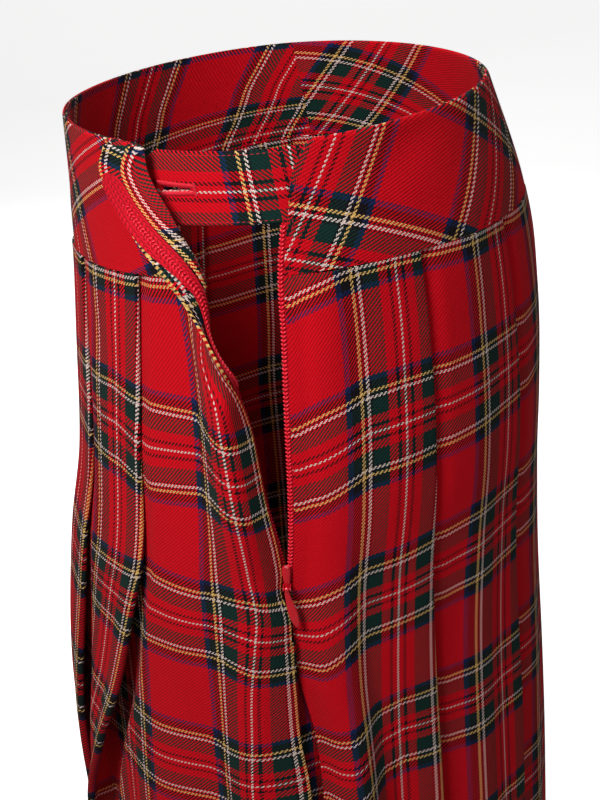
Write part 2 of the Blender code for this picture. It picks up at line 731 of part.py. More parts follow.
def build_skirt():
    """All pieces of the skirt."""
    clear_scene()
    cloth = make_material("tartan_cloth", RED_CLOTH, 0.85)
    tape = make_material("zip_tape", ZIP_RED, 0.7)
    enamel = make_material("zip_enamel", ZIP_RED, 0.35)
    plastic = make_material("button_plastic", BUTTON_RED, 0.4)
    wall("yoke_front", YOKE_ROWS, [yoke_front_line(drop) for drop in YOKE_ROWS],
         YOKE_CLOTH, cloth, matched=MATCHED_COLUMNS)
    wall("yoke_back", YOKE_ROWS, [yoke_back_line(drop) for drop in YOKE_ROWS],
         YOKE_BACK_CLOTH, cloth)
    wall("yoke_facing_front", YOKE_ROWS, [facing_line(drop) for drop in YOKE_ROWS],
         FACING_CLOTH, cloth, shift=-FACING_LIFT_BELOW, matched=MATCHED_COLUMNS - TAPE_SPANS)
    wall("skirt_front", SKIRT_ROWS, [skirt_front_line(drop) for drop in SKIRT_ROWS],
         CLOTH, cloth, matched=MATCHED_COLUMNS)
    wall("skirt_back", SKIRT_ROWS, [skirt_back_line(drop) for drop in SKIRT_ROWS],
         CLOTH, cloth)
    wall("side_pleat_underlay", INSET_ROWS, [inset_line(drop) for drop in INSET_ROWS],
         CLOTH, cloth)
    wall("zip_tape_front", TAPE_ROWS, [tape_front_line(drop) for drop in TAPE_ROWS],
         TAPE_CLOTH, tape, shift=-(YOKE_CLOTH / 2 + TAPE_GAP + TAPE_CLOTH / 2), matched=MATCHED_COLUMNS)
    wall("zip_tape_back", TAPE_BACK_ROWS, [tape_back_line(drop) for drop in TAPE_BACK_ROWS],
         TAPE_CLOTH, tape)
    build_tab(cloth)
    build_button(plastic)
    slider = build_slider(enamel)
    build_pull(enamel, slider)


build_skirt()
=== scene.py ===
"""Looks of the pleated tartan skirt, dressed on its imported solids.

The sections follow the skirt as it is put together: the room it is shown in, the pleated front,
the pleated back, the underlay at the zip, the yokes, the tab with its button, and the zip.
Lengths are in metres.
"""

import math
from collections import namedtuple
from functools import partial

import bmesh
import bpy
import numpy as np
from mathutils import Matrix, Vector


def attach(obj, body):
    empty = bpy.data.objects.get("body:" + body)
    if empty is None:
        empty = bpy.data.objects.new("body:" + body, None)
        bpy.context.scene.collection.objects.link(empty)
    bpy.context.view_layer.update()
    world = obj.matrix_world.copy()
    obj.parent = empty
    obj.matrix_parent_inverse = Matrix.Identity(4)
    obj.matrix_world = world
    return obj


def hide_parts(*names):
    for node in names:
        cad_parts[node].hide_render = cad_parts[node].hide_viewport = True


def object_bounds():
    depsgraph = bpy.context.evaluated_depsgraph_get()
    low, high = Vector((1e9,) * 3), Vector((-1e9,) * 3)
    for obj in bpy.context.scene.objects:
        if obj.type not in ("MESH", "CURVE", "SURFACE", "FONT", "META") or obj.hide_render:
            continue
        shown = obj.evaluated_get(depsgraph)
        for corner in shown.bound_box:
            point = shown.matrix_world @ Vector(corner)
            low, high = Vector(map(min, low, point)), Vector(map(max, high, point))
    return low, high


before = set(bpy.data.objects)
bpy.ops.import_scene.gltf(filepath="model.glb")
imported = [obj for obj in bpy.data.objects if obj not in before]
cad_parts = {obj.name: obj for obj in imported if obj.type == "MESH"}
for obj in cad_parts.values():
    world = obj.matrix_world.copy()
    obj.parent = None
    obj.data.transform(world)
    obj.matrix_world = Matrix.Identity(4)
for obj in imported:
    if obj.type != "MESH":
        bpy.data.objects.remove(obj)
cad_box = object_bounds()


# Room
# A pale floor under the hem, a pale wall behind, and soft light from large panels on the side
# of the zip, as in a plain studio. The camera looks down a little at the wearer's left side.
FLOOR_GAP = 0.002
FLOOR_HALF = 4.0
WALL_PLACE = -2.6
ROOM_TURN = 0.6
ROOM_TURN_STEPS = 12
ROOM_COLOUR = (0.93, 0.93, 0.93, 1.0)
WHITE_LIGHT = (1.0, 1.0, 1.0, 1.0)
CAMERA_PLACE = (0.7144, 0.0641, 0.1361)
CAMERA_PITCH = math.radians(24.27)
CAMERA_YAW = math.radians(5.24)
CAMERA_ROLL = math.radians(-3.71)
FOCAL_PIXELS = 1315.0
IMAGE_HEIGHT = 800.0
SENSOR_HEIGHT = 36.0
Panel = namedtuple("Panel", "name place aim size power colour")
PANELS = (
    Panel("key_panel", (0.70, -0.36, 0.58), (0.12, -0.04, -0.08), 0.36, 15.5, (1.0, 0.98, 0.97)),
    Panel("fill_panel", (1.30, 0.70, 0.60), (0.05, 0.0, -0.15), 1.00, 3.5, (0.97, 0.98, 1.0)),
    Panel("back_panel", (-1.20, -0.20, 0.90), (0.0, 0.0, -0.20), 1.20, 18.0, (1.0, 1.0, 1.0)),
)
ROOM_LIGHT = 0.25
ROOM_GLOW = 0.56


def feed(tree, item, inputs):
    """Give a node's inputs plain values, or the sockets or nodes that feed them."""
    for key, value in inputs.items():
        if isinstance(value, bpy.types.Node):
            value = value.outputs[0]
        if isinstance(value, bpy.types.NodeSocket):
            tree.links.new(value, item.inputs[key])
        else:
            item.inputs[key].default_value = value


def new_material(name):
    """A material with its tree and its shader."""
    material = bpy.data.materials.new(name)
    material.use_nodes = True
    return material, material.node_tree, material.node_tree.nodes["Principled BSDF"]


def link(name, data):
    """A new object for the data, in the scene."""
    item = bpy.data.objects.new(name, data)
    bpy.context.scene.collection.objects.link(item)
    return item


def add_room():
    """Floor and wall as one curved sheet."""
    floor = cad_box[0][2] - FLOOR_GAP
    profile = [(FLOOR_HALF, floor)]
    for step in range(ROOM_TURN_STEPS + 1):
        angle = math.pi / 2 * step / ROOM_TURN_STEPS
        profile.append((WALL_PLACE + ROOM_TURN - ROOM_TURN * math.sin(angle),
                        floor + ROOM_TURN - ROOM_TURN * math.cos(angle)))
    profile.append((WALL_PLACE, FLOOR_HALF))
    points = [(x, side * FLOOR_HALF, z) for side in (-1, 1) for x, z in profile]
    count = len(profile)
    faces = [(i, i + 1, count + i + 1, count + i) for i in range(count - 1)]
    data = bpy.data.meshes.new("room")
    data.from_pydata(points, [], faces)
    data.shade_smooth()
    paint, tree, shader = new_material("room_paint")
    feed(tree, shader, {"Base Color": ROOM_COLOUR, "Roughness": 0.9,
                        "Emission Color": WHITE_LIGHT, "Emission Strength": ROOM_GLOW})
    data.materials.append(paint)
    room = link("room", data)
    room.visible_diffuse = False
    room.visible_glossy = False


def add_light(panel):
    """A square light panel turned to its aim."""
    data = bpy.data.lights.new(panel.name, "AREA")
    data.size = panel.size
    data.energy = panel.power
    data.color = panel.colour
    item = link(panel.name, data)
    item.location = panel.place
    item.rotation_euler = (Vector(panel.aim) - Vector(panel.place)).to_track_quat("-Z", "Y").to_euler()


def add_camera():
    """The camera, from its place, pitch, yaw and roll."""
    data = bpy.data.cameras.new("camera")
    data.sensor_fit = "VERTICAL"
    data.sensor_height = SENSOR_HEIGHT
    data.lens = FOCAL_PIXELS * SENSOR_HEIGHT / IMAGE_HEIGHT
    item = link("camera", data)
    item.matrix_world = (Matrix.Translation(CAMERA_PLACE)
                         @ Matrix.Rotation(math.pi / 2 + CAMERA_YAW, 4, "Z")
                         @ Matrix.Rotation(math.pi / 2 - CAMERA_PITCH, 4, "X")
                         @ Matrix.Rotation(CAMERA_ROLL, 4, "Z"))
    bpy.context.scene.camera = item


add_room()
for panel in PANELS:
    add_light(panel)
add_camera()
world = bpy.data.worlds.new("room_light")
world.use_nodes = True
feed(world.node_tree, world.node_tree.nodes["Background"],
     {"Color": WHITE_LIGHT, "Strength": ROOM_LIGHT})
bpy.context.scene.world = world
bpy.context.scene.view_settings.view_transform = "Standard"


# Pleated front panel
# Red tartan twill in knife pleats, stitched down to the hip and pressed below. Its free edge at
# the zip rolls outward like a lapel. A point of the cloth is given by drop (down the cloth from
# the waist), place (round the ring from the zip line, positive to the back) and lift (outward).
class Table:
    """Values at drops down the cloth, on smooth curves through the rows."""

    def __init__(self, columns, *rows):
        self.kind = namedtuple("Values", columns)
        self.rows = np.array(rows)

    def at(self, drop):
        """The values at a drop, held at the first and the last row."""
        drops = self.rows[:, 0]
        drop = min(max(drop, drops[0]), drops[-1])
        index = min(max(int(np.searchsorted(drops, drop)) - 1, 0), len(drops) - 2)
        near = np.clip(np.arange(index - 1, index + 3), 0, len(drops) - 1)
        before, low, high, after = self.rows[near]
        span = high[0] - low[0]
        part = (drop - low[0]) / span
        slope_low = (high - before) / (high[0] - before[0]) * span
        slope_high = (after - low) / (after[0] - low[0]) * span
        square = part * part
        cube = square * part
        return self.kind(*(
            (2 * cube - 3 * square + 1) * low + (cube - 2 * square + part) * slope_low
            + (3 * square - 2 * cube) * high + (cube - square) * slope_high))


CLOTH = 0.0012
SEAM_GAP = 0.0003
YOKE_DEPTH = 0.0620
SKIRT_START = YOKE_DEPTH + SEAM_GAP
ZIP_END = 0.229
HEM = 0.58
YOKE_DIP = 0.008
DIP_FADE = 0.12
DIP_STEP = 0.004
SECTIONS = Table(
    "drop height front_back_half side_half centre_y tilt",
    (0.000, 0.0000, 0.1105, 0.1340, -0.004, 0.028),
    (0.062, -0.0605, 0.1205, 0.1385, 0.004, 0.055),
    (0.130, -0.1275, 0.1280, 0.1445, 0.006, 0.082),
    (0.190, -0.1870, 0.1305, 0.1485, 0.005, 0.096),
    (0.240, -0.2365, 0.1325, 0.1475, 0.001, 0.100),
    (0.330, -0.3260, 0.1330, 0.1450, -0.001, 0.094),
    (0.450, -0.4455, 0.1340, 0.1455, 0.000, 0.085),
    (0.580, -0.5750, 0.1355, 0.1470, 0.000, 0.080),
)
RING_ROUNDNESS = 1.85
RING_SAMPLES = 1440
DIRECTION_STEP = 0.001
PLEATS = Table(
    "drop pitch fold_back opening",
    (0.062, 0.0017, 0.050, 0.0), (0.190, 0.0017, 0.052, 0.0),
    (0.260, 0.0022, 0.050, 0.25), (0.380, 0.0032, 0.047, 0.75),
    (0.580, 0.0040, 0.044, 1.0),
)
# A face is the visible cloth of a pleat. It runs from start to end, in shares of the ring from
# the zip line. Below the hip its fold swings along the ring and lifts out. The ridge is its round
# flute, with a place, a rise and a fall in shares of its width. The thread is added to the one
# that the table of folds gives at its fold.
Face = namedtuple("Face", "start end swing lift ridge ridge_place rise fall thread")
FRONT_FACES = (
    Face(-0.5000, -0.4200, 0.003, 0.006, 0.005, 0.42, 0.34, 0.34, 0.0),
    Face(-0.4200, -0.3400, -0.004, 0.008, 0.007, 0.50, 0.34, 0.30, 2.0),
    Face(-0.3400, -0.2600, 0.002, 0.005, 0.006, 0.45, 0.34, 0.34, -1.0),
    Face(-0.2600, -0.1800, -0.028, 0.007, 0.007, 0.45, 0.34, 0.34, 9.0),
    Face(-0.1800, -0.0980, 0.0, 0.017, 0.006, 0.45, 0.34, 0.34, 10.0),
)
ZIP_FACE = Face(-0.0980, 0.0, 0.0, 0.0, 0.005, 0.55, 0.45, 0.45, 0.0)
SIDE_FOLD = Table(
    "drop shift",
    (0.062, 0.0010), (0.096, -0.0023), (0.140, -0.0055), (0.186, -0.0078),
    (0.226, -0.0068), (0.247, -0.0115), (0.313, -0.0300), (0.370, -0.0560),
    (0.430, -0.0760), (0.580, -0.0800),
)
SIDE_START = -0.028
CLIMB = 0.013
MITRE_LIMIT = 0.6
SHARP_FOLD = math.radians(70)
INNER_CLEAR = 0.0145
CLOSED_RIDGE = 0.15
FOLD_LIFT_START = 0.4
FOLD_TURN = math.radians(60)
FOLD_MIDDLE = 0.45
ROLL = Table(
    "drop crease crest crest_lift edge edge_lift",
    (0.000, -0.0710, -0.0530, 0.0038, -0.0705, 0.0085),
    (0.012, -0.0720, -0.0530, 0.0042, -0.0757, 0.0100),
    (0.030, -0.0648, -0.0442, 0.0060, -0.0650, 0.0125),
    (0.062, -0.0502, -0.0302, 0.0095, -0.0340, 0.0245),
    (0.095, -0.0462, -0.0335, 0.0118, -0.0222, 0.0228),
    (0.115, -0.0456, -0.0258, 0.0205, -0.0190, 0.0130),
    (0.135, -0.0457, -0.0250, 0.0195, -0.0165, 0.0065),
    (0.175, -0.0465, -0.0226, 0.0160, -0.0124, 0.0035),
    (0.215, -0.0465, -0.0190, 0.0085, -0.0052, 0.0010),
    (ZIP_END, -0.0460, -0.0165, 0.0075, -0.0051, 0.0006),
    (0.242, -0.0450, -0.0155, 0.0064, -0.0010, 0.0002),
    (0.260, -0.0440, -0.0170, 0.0060, -SEAM_GAP, 0.0000),
    (0.290, -0.0430, -0.0200, 0.0060, 0.0008, 0.0000),
    (0.321, -0.0430, -0.0215, 0.0060, 0.0016, 0.0000),
    (0.355, -0.0430, -0.0235, 0.0060, 0.0048, 0.0000),
    (HEM, -0.0430, -0.0300, 0.0060, 0.0100, 0.0000),
)
ROLL_RUN_IN = 0.010
ROLL_SAMPLES = 33
TAPE_WIDTH = 0.013
CREST_CLEAR = 0.0043
SINGLE_LIFT = 0.0030
SINGLE_END = 0.225
SINGLE_FADE = 0.030
PANEL_ROWS = 150
FACE_STEPS = 26
LAYER_STEPS = 5
TURN_STEPS = 4
RISE_STEPS = 12
CREST_STEPS = 5
TAPE_STEPS = 7
CREASE_COLUMN = -(RISE_STEPS + CREST_STEPS + TAPE_STEPS + 1)
CREST_COLUMN = -(CREST_STEPS + TAPE_STEPS + 1)
# Soft creases, each a low ridge (or a trough where its height is negative) that runs down the
# cloth and leans to the back by its lean: the places are in metres from the waist and the zip
Crease = namedtuple("Crease", "place drop half_width half_length lean height")
CREASES = [Crease(*row) for row in (
    (0.072, 0.014, 0.020, 0.014, -0.9, -0.0013), (0.044, 0.054, 0.016, 0.012, 0.3, 0.0011),
    (0.118, 0.046, 0.018, 0.020, -0.5, 0.0010), (0.034, 0.106, 0.012, 0.026, -0.25, -0.0008),
    (0.104, 0.118, 0.020, 0.040, 0.12, -0.0013), (0.058, 0.166, 0.014, 0.036, -0.18, 0.0010),
    (0.150, 0.190, 0.018, 0.060, 0.10, 0.0016), (0.092, 0.262, 0.015, 0.050, 0.06, -0.0018),
    (0.158, 0.345, 0.018, 0.060, -0.05, 0.0024), (0.058, 0.430, 0.020, 0.080, 0.08, -0.0026),
    (-0.118, 0.106, 0.014, 0.030, 0.30, -0.0011), (-0.088, 0.160, 0.012, 0.030, 0.35, 0.0010),
    (-0.150, 0.215, 0.016, 0.050, -0.10, 0.0014), (-0.072, 0.296, 0.016, 0.050, 0.10, -0.0016),
    (-0.086, 0.440, 0.020, 0.070, -0.05, 0.0024), (-0.190, 0.375, 0.036, 0.160, 0.00, 0.0150),
    (-0.185, 0.044, 0.020, 0.016, 0.60, 0.0010), (-0.226, 0.150, 0.020, 0.050, -0.15, -0.0018),
    (-0.252, 0.330, 0.018, 0.070, 0.06, 0.0026), (-0.300, 0.200, 0.016, 0.060, 0.12, 0.0018),
    (-0.338, 0.400, 0.020, 0.080, -0.06, -0.0028), (-0.372, 0.110, 0.018, 0.030, -0.30, 0.0014),
    (0.214, 0.090, 0.018, 0.030, 0.25, 0.0013), (0.236, 0.250, 0.016, 0.060, -0.10, -0.0020),
    (0.278, 0.410, 0.020, 0.080, 0.05, 0.0028), (0.300, 0.140, 0.018, 0.040, 0.20, -0.0015),
    (0.334, 0.300, 0.016, 0.070, -0.08, 0.0022), (0.376, 0.180, 0.020, 0.050, 0.10, 0.0016),
)]
# The tartan: its sett in thread units, and where the sett lies on the pleats
SETT = 197.0
WARP_UNIT = 0.000535
WEFT_UNIT = 0.000508
SETT_THREADS = 184.0
TWILL_REPEAT = 4.0
THREAD_HEIGHT_SHARE = 0.45
FIRST_LINE_DROP = 0.0668
FIRST_LINE = 42.5
MILLIMETRE = 0.001
SAG_PLACES = (-0.200, -0.150, -0.110, -0.086, -0.050, -0.036, -0.018, 0.004, 0.016, 0.027, 0.036,
              0.056, 0.100, 0.150, 0.200)
SAG_DROPS = (0.062, 0.128, 0.172, 0.228, 0.271, 0.328, 0.580)
SAG_MILLIMETRES = (
    (0, 0, 0, 1, 0, -1, 2, 10, 5, 1, 0, -1, 0, 0, 0),
    (0, 0, 0, 5, 6, 10, 16, 15, 9, 6, 3, 2, 3, 2, 0),
    (0, 3, 5, 11, 7, 8, 14, 15, 12, 7, 4, 4, 4, 3, 0),
    (0, 9, 8, 5, 8, 6, 6, 13, 8, 4, 0, 0, -3, -4, 0),
    (0, 6, 6, 6, 4, 4, 9, 12, 10, 2, -2, -3, -4, -4, 0),
    (0, 3, 3, 3, 1, 4, 4, 3, 1, -1, -7, -13, -8, -6, 0),
    (0, 0, 0, 0, 0, 0, 0, 0, 0, 0, 0, 0, 0, 0, 0),
)
FOLD_THREADS = Table(
    "drop thread",
    (0.062, 22.0), (0.110, 24.0), (0.250, 34.0), (0.330, 37.0), (0.580, 38.0),
)
ZIP_EDGE_THREAD = 43.0
CREASE_THREAD = -52.0
CREST_THREAD = 0.0
Stripe = namedtuple("Stripe", "start colour")
WHITE = (0.64, 0.52, 0.47)
RED = (0.56, 0.0025, 0.0095)
BLACK = (0.008, 0.006, 0.008)
GREEN = (0.005, 0.026, 0.021)
YELLOW = (0.67, 0.41, 0.13)
BLUE = (0.008, 0.018, 0.075)
STRIPES = (
    Stripe(0.0, WHITE), Stripe(1.0, RED), Stripe(5.0, BLACK), Stripe(8.0, RED),
    Stripe(17.0, GREEN), Stripe(32.0, BLACK), Stripe(34.0, WHITE), Stripe(37.0, BLACK),
    Stripe(41.0, YELLOW), Stripe(44.0, BLACK), Stripe(52.0, BLUE), Stripe(57.0, RED),
)


def smooth(value):
    """0 below 0, 1 above 1, smooth between."""
    value = np.clip(value, 0.0, 1.0)
    return value * value * (3.0 - 2.0 * value)


def signed_power(value, power):
    """The value raised to a power, its sign kept."""
    return np.sign(value) * np.abs(value) ** power


class Ring:
    """One ring of the worn form, measured round from the zip line."""

    def __init__(self, drop):
        self.drop = drop
        self.section = SECTIONS.at(drop)
        angle = np.linspace(-math.pi, math.pi, RING_SAMPLES + 1)
        power = 2.0 / RING_ROUNDNESS
        self.x = signed_power(np.cos(angle), power) * self.section.side_half
        self.y = signed_power(np.sin(angle), power) * self.section.front_back_half
        length = line_length(np.stack([self.x, self.y], axis=1))
        self.perimeter = float(length[-1])
        self.length = length - length[RING_SAMPLES // 2]

    def wrap(self, place):
        """The same place, within half a turn of the zip line."""
        half = self.perimeter / 2
        return (place + half) % self.perimeter - half

    def around(self, place):
        """X and Y of the ring at places round it."""
        here = self.wrap(place)
        return np.array([np.interp(here, self.length, axis) for axis in (self.x, self.y)])

    def points(self, place, lift):
        """World points at places round the ring and lifts out from it."""
        run_x, run_y = self.around(place + DIRECTION_STEP) - self.around(place - DIRECTION_STEP)
        size = np.hypot(run_x, run_y)
        x, y = self.around(place)
        x = x + run_y / size * lift
        y = y - run_x / size * lift + self.section.centre_y
        return np.stack([x, y, self.section.height + self.section.tilt * y], axis=1)


def row_points(drop, line):
    """World points of one row of cloth, let down by the dip of the yoke seam."""
    ring = Ring(drop)
    below = Ring(min(drop + DIP_STEP, HEM))
    place, lift = line[:, 0], line[:, 1]
    upper = ring.points(place, lift)
    if drop <= YOKE_DEPTH:
        share = drop / YOKE_DEPTH
    else:
        share = 1.0 - smooth((drop - YOKE_DEPTH) / DIP_FADE)
    extra = YOKE_DIP * share * np.sin(2 * math.pi * place / ring.perimeter) ** 2
    if below.drop <= drop:
        upper[:, 2] -= extra
        return upper
    lower = below.points(place * below.perimeter / ring.perimeter, lift)
    return upper + (lower - upper) * (extra / (below.drop - drop))[:, None]


def offset_line(line, distance):
    """The line moved sideways in (place, lift), to its left, with mitred corners."""
    runs = np.diff(line, axis=0)
    runs /= np.linalg.norm(runs, axis=1)[:, None]
    sides = np.stack([-runs[:, 1], runs[:, 0]], axis=1)
    first = np.vstack([sides[:1], sides])
    last = np.vstack([sides, sides[-1:]])
    mean = first + last
    mean /= np.linalg.norm(mean, axis=1)[:, None]
    stretch = 1.0 / np.maximum(np.sum(mean * last, axis=1), MITRE_LIMIT)
    return line + mean * (stretch * distance)[:, None]


def line_length(line):
    """Distance along the line at each of its points."""
    steps = np.linalg.norm(np.diff(line, axis=0), axis=1)
    return np.concatenate([[0.0], np.cumsum(steps)])


def points_along(line, stops):
    """Points of a line at distances along it."""
    length = line_length(line)
    return np.stack([np.interp(stops, length, line[:, axis]) for axis in (0, 1)], axis=1)


def bump(part, face):
    """The round flute of a face, of height 1 at its crest."""
    reach = np.where(part < face.ridge_place, face.rise, face.fall)
    distance = np.clip(np.abs(part - face.ridge_place) / reach, 0.0, 1.0)
    return 0.5 + 0.5 * np.cos(math.pi * distance)


def single_share(drop):
    """1 beside the zip, where the cloth has no underlay, and 0 below it."""
    return 1.0 - float(smooth((drop - SINGLE_END) / SINGLE_FADE))


def fold_lift(run, width, pleat, face):
    """The lift that the opened pleat has over the last part of its face."""
    share = (run / width - FOLD_LIFT_START) / (1.0 - FOLD_LIFT_START)
    return face.lift * pleat.opening * smooth(share)


def fold_place(ring, share):
    """A fold's place on its ring: the one beside the zip swings to the front as it falls."""
    place = share * ring.perimeter
    if share == ZIP_FACE.start:
        place += SIDE_FOLD.at(ring.drop).shift
    return place


def face_start(ring, pleat, face):
    """A face's start on its ring: the last but one swings with the fold that lies over it."""
    start = face.start * ring.perimeter
    if face.end == ZIP_FACE.start:
        start += SIDE_START * pleat.opening
    return start


def face_line(ring, pleat, face):
    """The visible face of a pleat, from under the last fold to its own fold."""
    start = face_start(ring, pleat, face)
    end = fold_place(ring, face.end) + face.swing * pleat.opening
    width = end - start
    part = np.linspace(0.0, 1.0, FACE_STEPS + 1)
    run = width * part
    grown = CLOSED_RIDGE + (1.0 - CLOSED_RIDGE) * pleat.opening
    lift = 2 * pleat.pitch * smooth(run / CLIMB)
    lift = lift + face.ridge * grown * bump(part, face)
    lift = lift + fold_lift(run, width, pleat, face)
    return np.stack([start + run, lift], axis=1)


def turn_points(place, top, radius, direction):
    """The round of a fold edge between its upper and its lower layer."""
    angle = np.linspace(FOLD_TURN, -FOLD_TURN, TURN_STEPS)
    return np.stack([place + direction * radius * np.cos(angle),
                     top - radius + radius * np.sin(angle)], axis=1)


def layer(start, end):
    """Points along one hidden layer, from start up to but not including end."""
    part = np.linspace(0.0, 1.0, LAYER_STEPS + 1)[:-1, None]
    return np.array(start) + (np.array(end) - np.array(start)) * part


def underlay_lines(start, end, pleat, face):
    """The hidden layers: back from the fold edge to the inner fold, and forward again."""
    radius = pleat.pitch / 2
    width = end - start
    top = 2 * pleat.pitch + fold_lift(width, width, pleat, face)
    inner = max(end - pleat.fold_back, start + INNER_CLEAR)
    middle = end - (end - inner) * FOLD_MIDDLE
    knots = [(place, pleat.pitch + fold_lift(place - start, width, pleat, face))
             for place in (middle, inner)]
    turn = turn_points(inner, pleat.pitch, radius, -1)
    backward = np.vstack([
        turn_points(end, top, radius, 1),
        layer((end, top - 2 * radius), knots[0]),
        layer(knots[0], knots[1]),
        [knots[1]],
        turn[:TURN_STEPS // 2],
    ])
    forward = np.vstack([
        turn[TURN_STEPS // 2:],
        layer((inner, 0.0), (middle, 0.0)),
        [(middle, 0.0)],
    ])
    return backward, forward


def roll_line(drop, lift):
    """The front edge of the opening, from its crease over the crest to the free edge."""
    roll = ROLL.at(drop)
    knots = np.array([
        (roll.crease - ROLL_RUN_IN, 0.0),
        (roll.crease, 0.0),
        (roll.crest, roll.crest_lift),
        (roll.edge, roll.edge_lift),
    ])
    knots = np.vstack([knots, 2 * knots[-1] - knots[-2]])
    dense = []
    for index in (1, 2):
        before, low, high, after = knots[index - 1:index + 3]
        part = np.linspace(0.0, 1.0, ROLL_SAMPLES)[index - 1:, None]
        dense.append(0.5 * (2 * low + (high - before) * part
                            + (2 * before - 5 * low + 4 * high - after) * part ** 2
                            + (3 * low - before - 3 * high + after) * part ** 3))
    dense = np.vstack(dense)
    length = line_length(dense)
    crest = length[ROLL_SAMPLES - 1]
    width = min(TAPE_WIDTH, length[-1] - crest - CREST_CLEAR)
    stops = np.concatenate([
        np.linspace(0.0, crest, RISE_STEPS + 1)[:-1],
        np.linspace(crest, length[-1] - width, CREST_STEPS + 1)[:-1],
        length[-1] - width * np.linspace(1.0, 0.0, TAPE_STEPS + 1),
    ])
    return points_along(dense, stops) + (0.0, lift)


def zip_face_line(drop):
    """The front face beside the zip: flat to the crease, then rolled outward to its edge."""
    ring = Ring(drop)
    pleat = PLEATS.at(drop)
    start = fold_place(ring, ZIP_FACE.start)
    single = single_share(drop)
    top = single * SINGLE_LIFT + (1.0 - single) * 2 * pleat.pitch
    roll = roll_line(drop, top)
    width = roll[0, 0] - start
    part = np.linspace(0.0, 1.0, FACE_STEPS + 1)[:-1]
    lift = top * smooth(width * part / CLIMB)
    lift = lift + ZIP_FACE.ridge * pleat.opening * bump(part, ZIP_FACE)
    return np.vstack([np.stack([start + width * part, lift], axis=1), roll])


def threads_from(line, anchor, thread):
    """Warp thread at each point of a line, counted along the cloth from one of its points."""
    length = line_length(line)
    return thread + (length - length[anchor]) / WARP_UNIT


def roll_threads(line):
    """Warp threads of the face at the zip, fixed at its crease, its crest and its free edge."""
    length = line_length(line)
    rolled = np.interp(length, length[[CREASE_COLUMN, CREST_COLUMN, -1]],
                       (CREASE_THREAD, CREST_THREAD, ZIP_EDGE_THREAD))
    return np.where(length < length[CREASE_COLUMN],
                    threads_from(line, CREASE_COLUMN, CREASE_THREAD), rolled)


def sag(place, drop):
    """How far the weft hangs below its ring, in metres."""
    index = min(max(int(np.searchsorted(SAG_DROPS, drop)) - 1, 0), len(SAG_DROPS) - 2)
    part = smooth((drop - SAG_DROPS[index]) / (SAG_DROPS[index + 1] - SAG_DROPS[index]))
    above, below = (np.interp(place, SAG_PLACES, row) for row in SAG_MILLIMETRES[index:index + 2])
    return (above * (1.0 - part) + below * part) * MILLIMETRE


def creased(line, drop):
    """The line with the soft creases added to its lift."""
    lift = np.zeros(len(line))
    for crease in CREASES:
        across = (line[:, 0] - crease.place - crease.lean * (drop - crease.drop)) / crease.half_width
        along = (drop - crease.drop) / crease.half_length
        lift += crease.height * np.exp(-across ** 2 - along ** 2)
    return line + np.stack([np.zeros(len(line)), lift], axis=1)


def weft_threads(drop, place):
    """Weft thread at places of a row."""
    return FIRST_LINE + (drop - sag(place, drop) - FIRST_LINE_DROP) / WEFT_UNIT


def pleated_line(drop, faces, shaped=None):
    """Line and warp threads of these faces with their folds, and the hidden layer that follows.

    The first face may be shaped at its start, once its fold is found.
    """
    ring = Ring(drop)
    pleat = PLEATS.at(drop)
    fold = FOLD_THREADS.at(drop).thread
    lines = []
    threads = []
    forward = np.zeros((0, 2))
    for face in faces:
        visible = face_line(ring, pleat, face)
        backward, following = underlay_lines(visible[0, 0], visible[-1, 0], pleat, face)
        if shaped and not lines:
            visible = shaped(drop, visible)
        line = np.vstack([forward, visible, backward])
        lines.append(line)
        threads.append(threads_from(line, len(forward) + len(visible) - 1, fold + face.thread))
        forward = following
    return np.vstack(lines), np.concatenate(threads), forward


def skirt_front_row(drop):
    """Line and warp threads of the front panel at a drop."""
    line, threads, hidden = pleated_line(drop, FRONT_FACES)
    last = np.vstack([hidden, zip_face_line(drop)])
    return np.vstack([line, last]), np.concatenate([threads, roll_threads(last)])


def flat_size(drops, lines):
    """Flat width, length and area of the cloth that is made of these lines."""
    widths = [line_length(line)[-1] for line in lines]
    middle = [row_points(drop, line)[len(line) // 2] for drop, line in zip(drops, lines)]
    steps = np.linalg.norm(np.diff(middle, axis=0), axis=1)
    area = float(np.sum((np.array(widths[1:]) + widths[:-1]) / 2 * steps))
    return float(max(widths)), float(np.sum(steps)), area


def shell_faces(kept):
    """Four-sided faces of a closed shell: its outer grid, its inner grid and its open edges."""
    rows, columns = kept.shape[0] + 1, kept.shape[1] + 1
    count = rows * columns
    index = np.arange(count).reshape(rows, columns)
    a, b, c, d = index[:-1, :-1], index[:-1, 1:], index[1:, 1:], index[1:, :-1]
    framed = np.pad(kept, 1)
    sides = [
        np.stack([d, c, b, a], axis=-1)[kept],
        np.stack([a, b, c, d], axis=-1)[kept] + count,
    ]
    for first, second, beside in ((a, b, framed[:-2, 1:-1]), (c, d, framed[2:, 1:-1]),
                                  (d, a, framed[1:-1, :-2]), (b, c, framed[1:-1, 2:])):
        edge = np.stack([first, second, second + count, first + count], axis=-1)
        sides.append(edge[kept & ~beside])
    return np.concatenate(sides)


def finished(name, data, material, sharp):
    """A finished mesh as an object: smooth up to a sharp angle, in its material."""
    data.shade_smooth()
    data.set_sharp_from_angle(angle=sharp)
    data.materials.clear()
    data.materials.append(material)
    return link(name, data)


def declare(piece, node_name, body="skirt"):
    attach(piece, body)
    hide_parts(node_name)


def node(tree, kind, inputs=None, **settings):
    """A node of a tree with its settings and what feeds it."""
    item = tree.nodes.new(kind)
    for key, value in settings.items():
        setattr(item, key, value)
    feed(tree, item, inputs or {})
    return item


def calculate(tree, operation, *values):
    """A Math node."""
    return node(tree, "ShaderNodeMath", dict(enumerate(values)), operation=operation)


def mix_float(tree, factor, first, second):
    """A Mix node for numbers."""
    return node(tree, "ShaderNodeMix", {0: factor, 2: first, 3: second}, data_type="FLOAT")


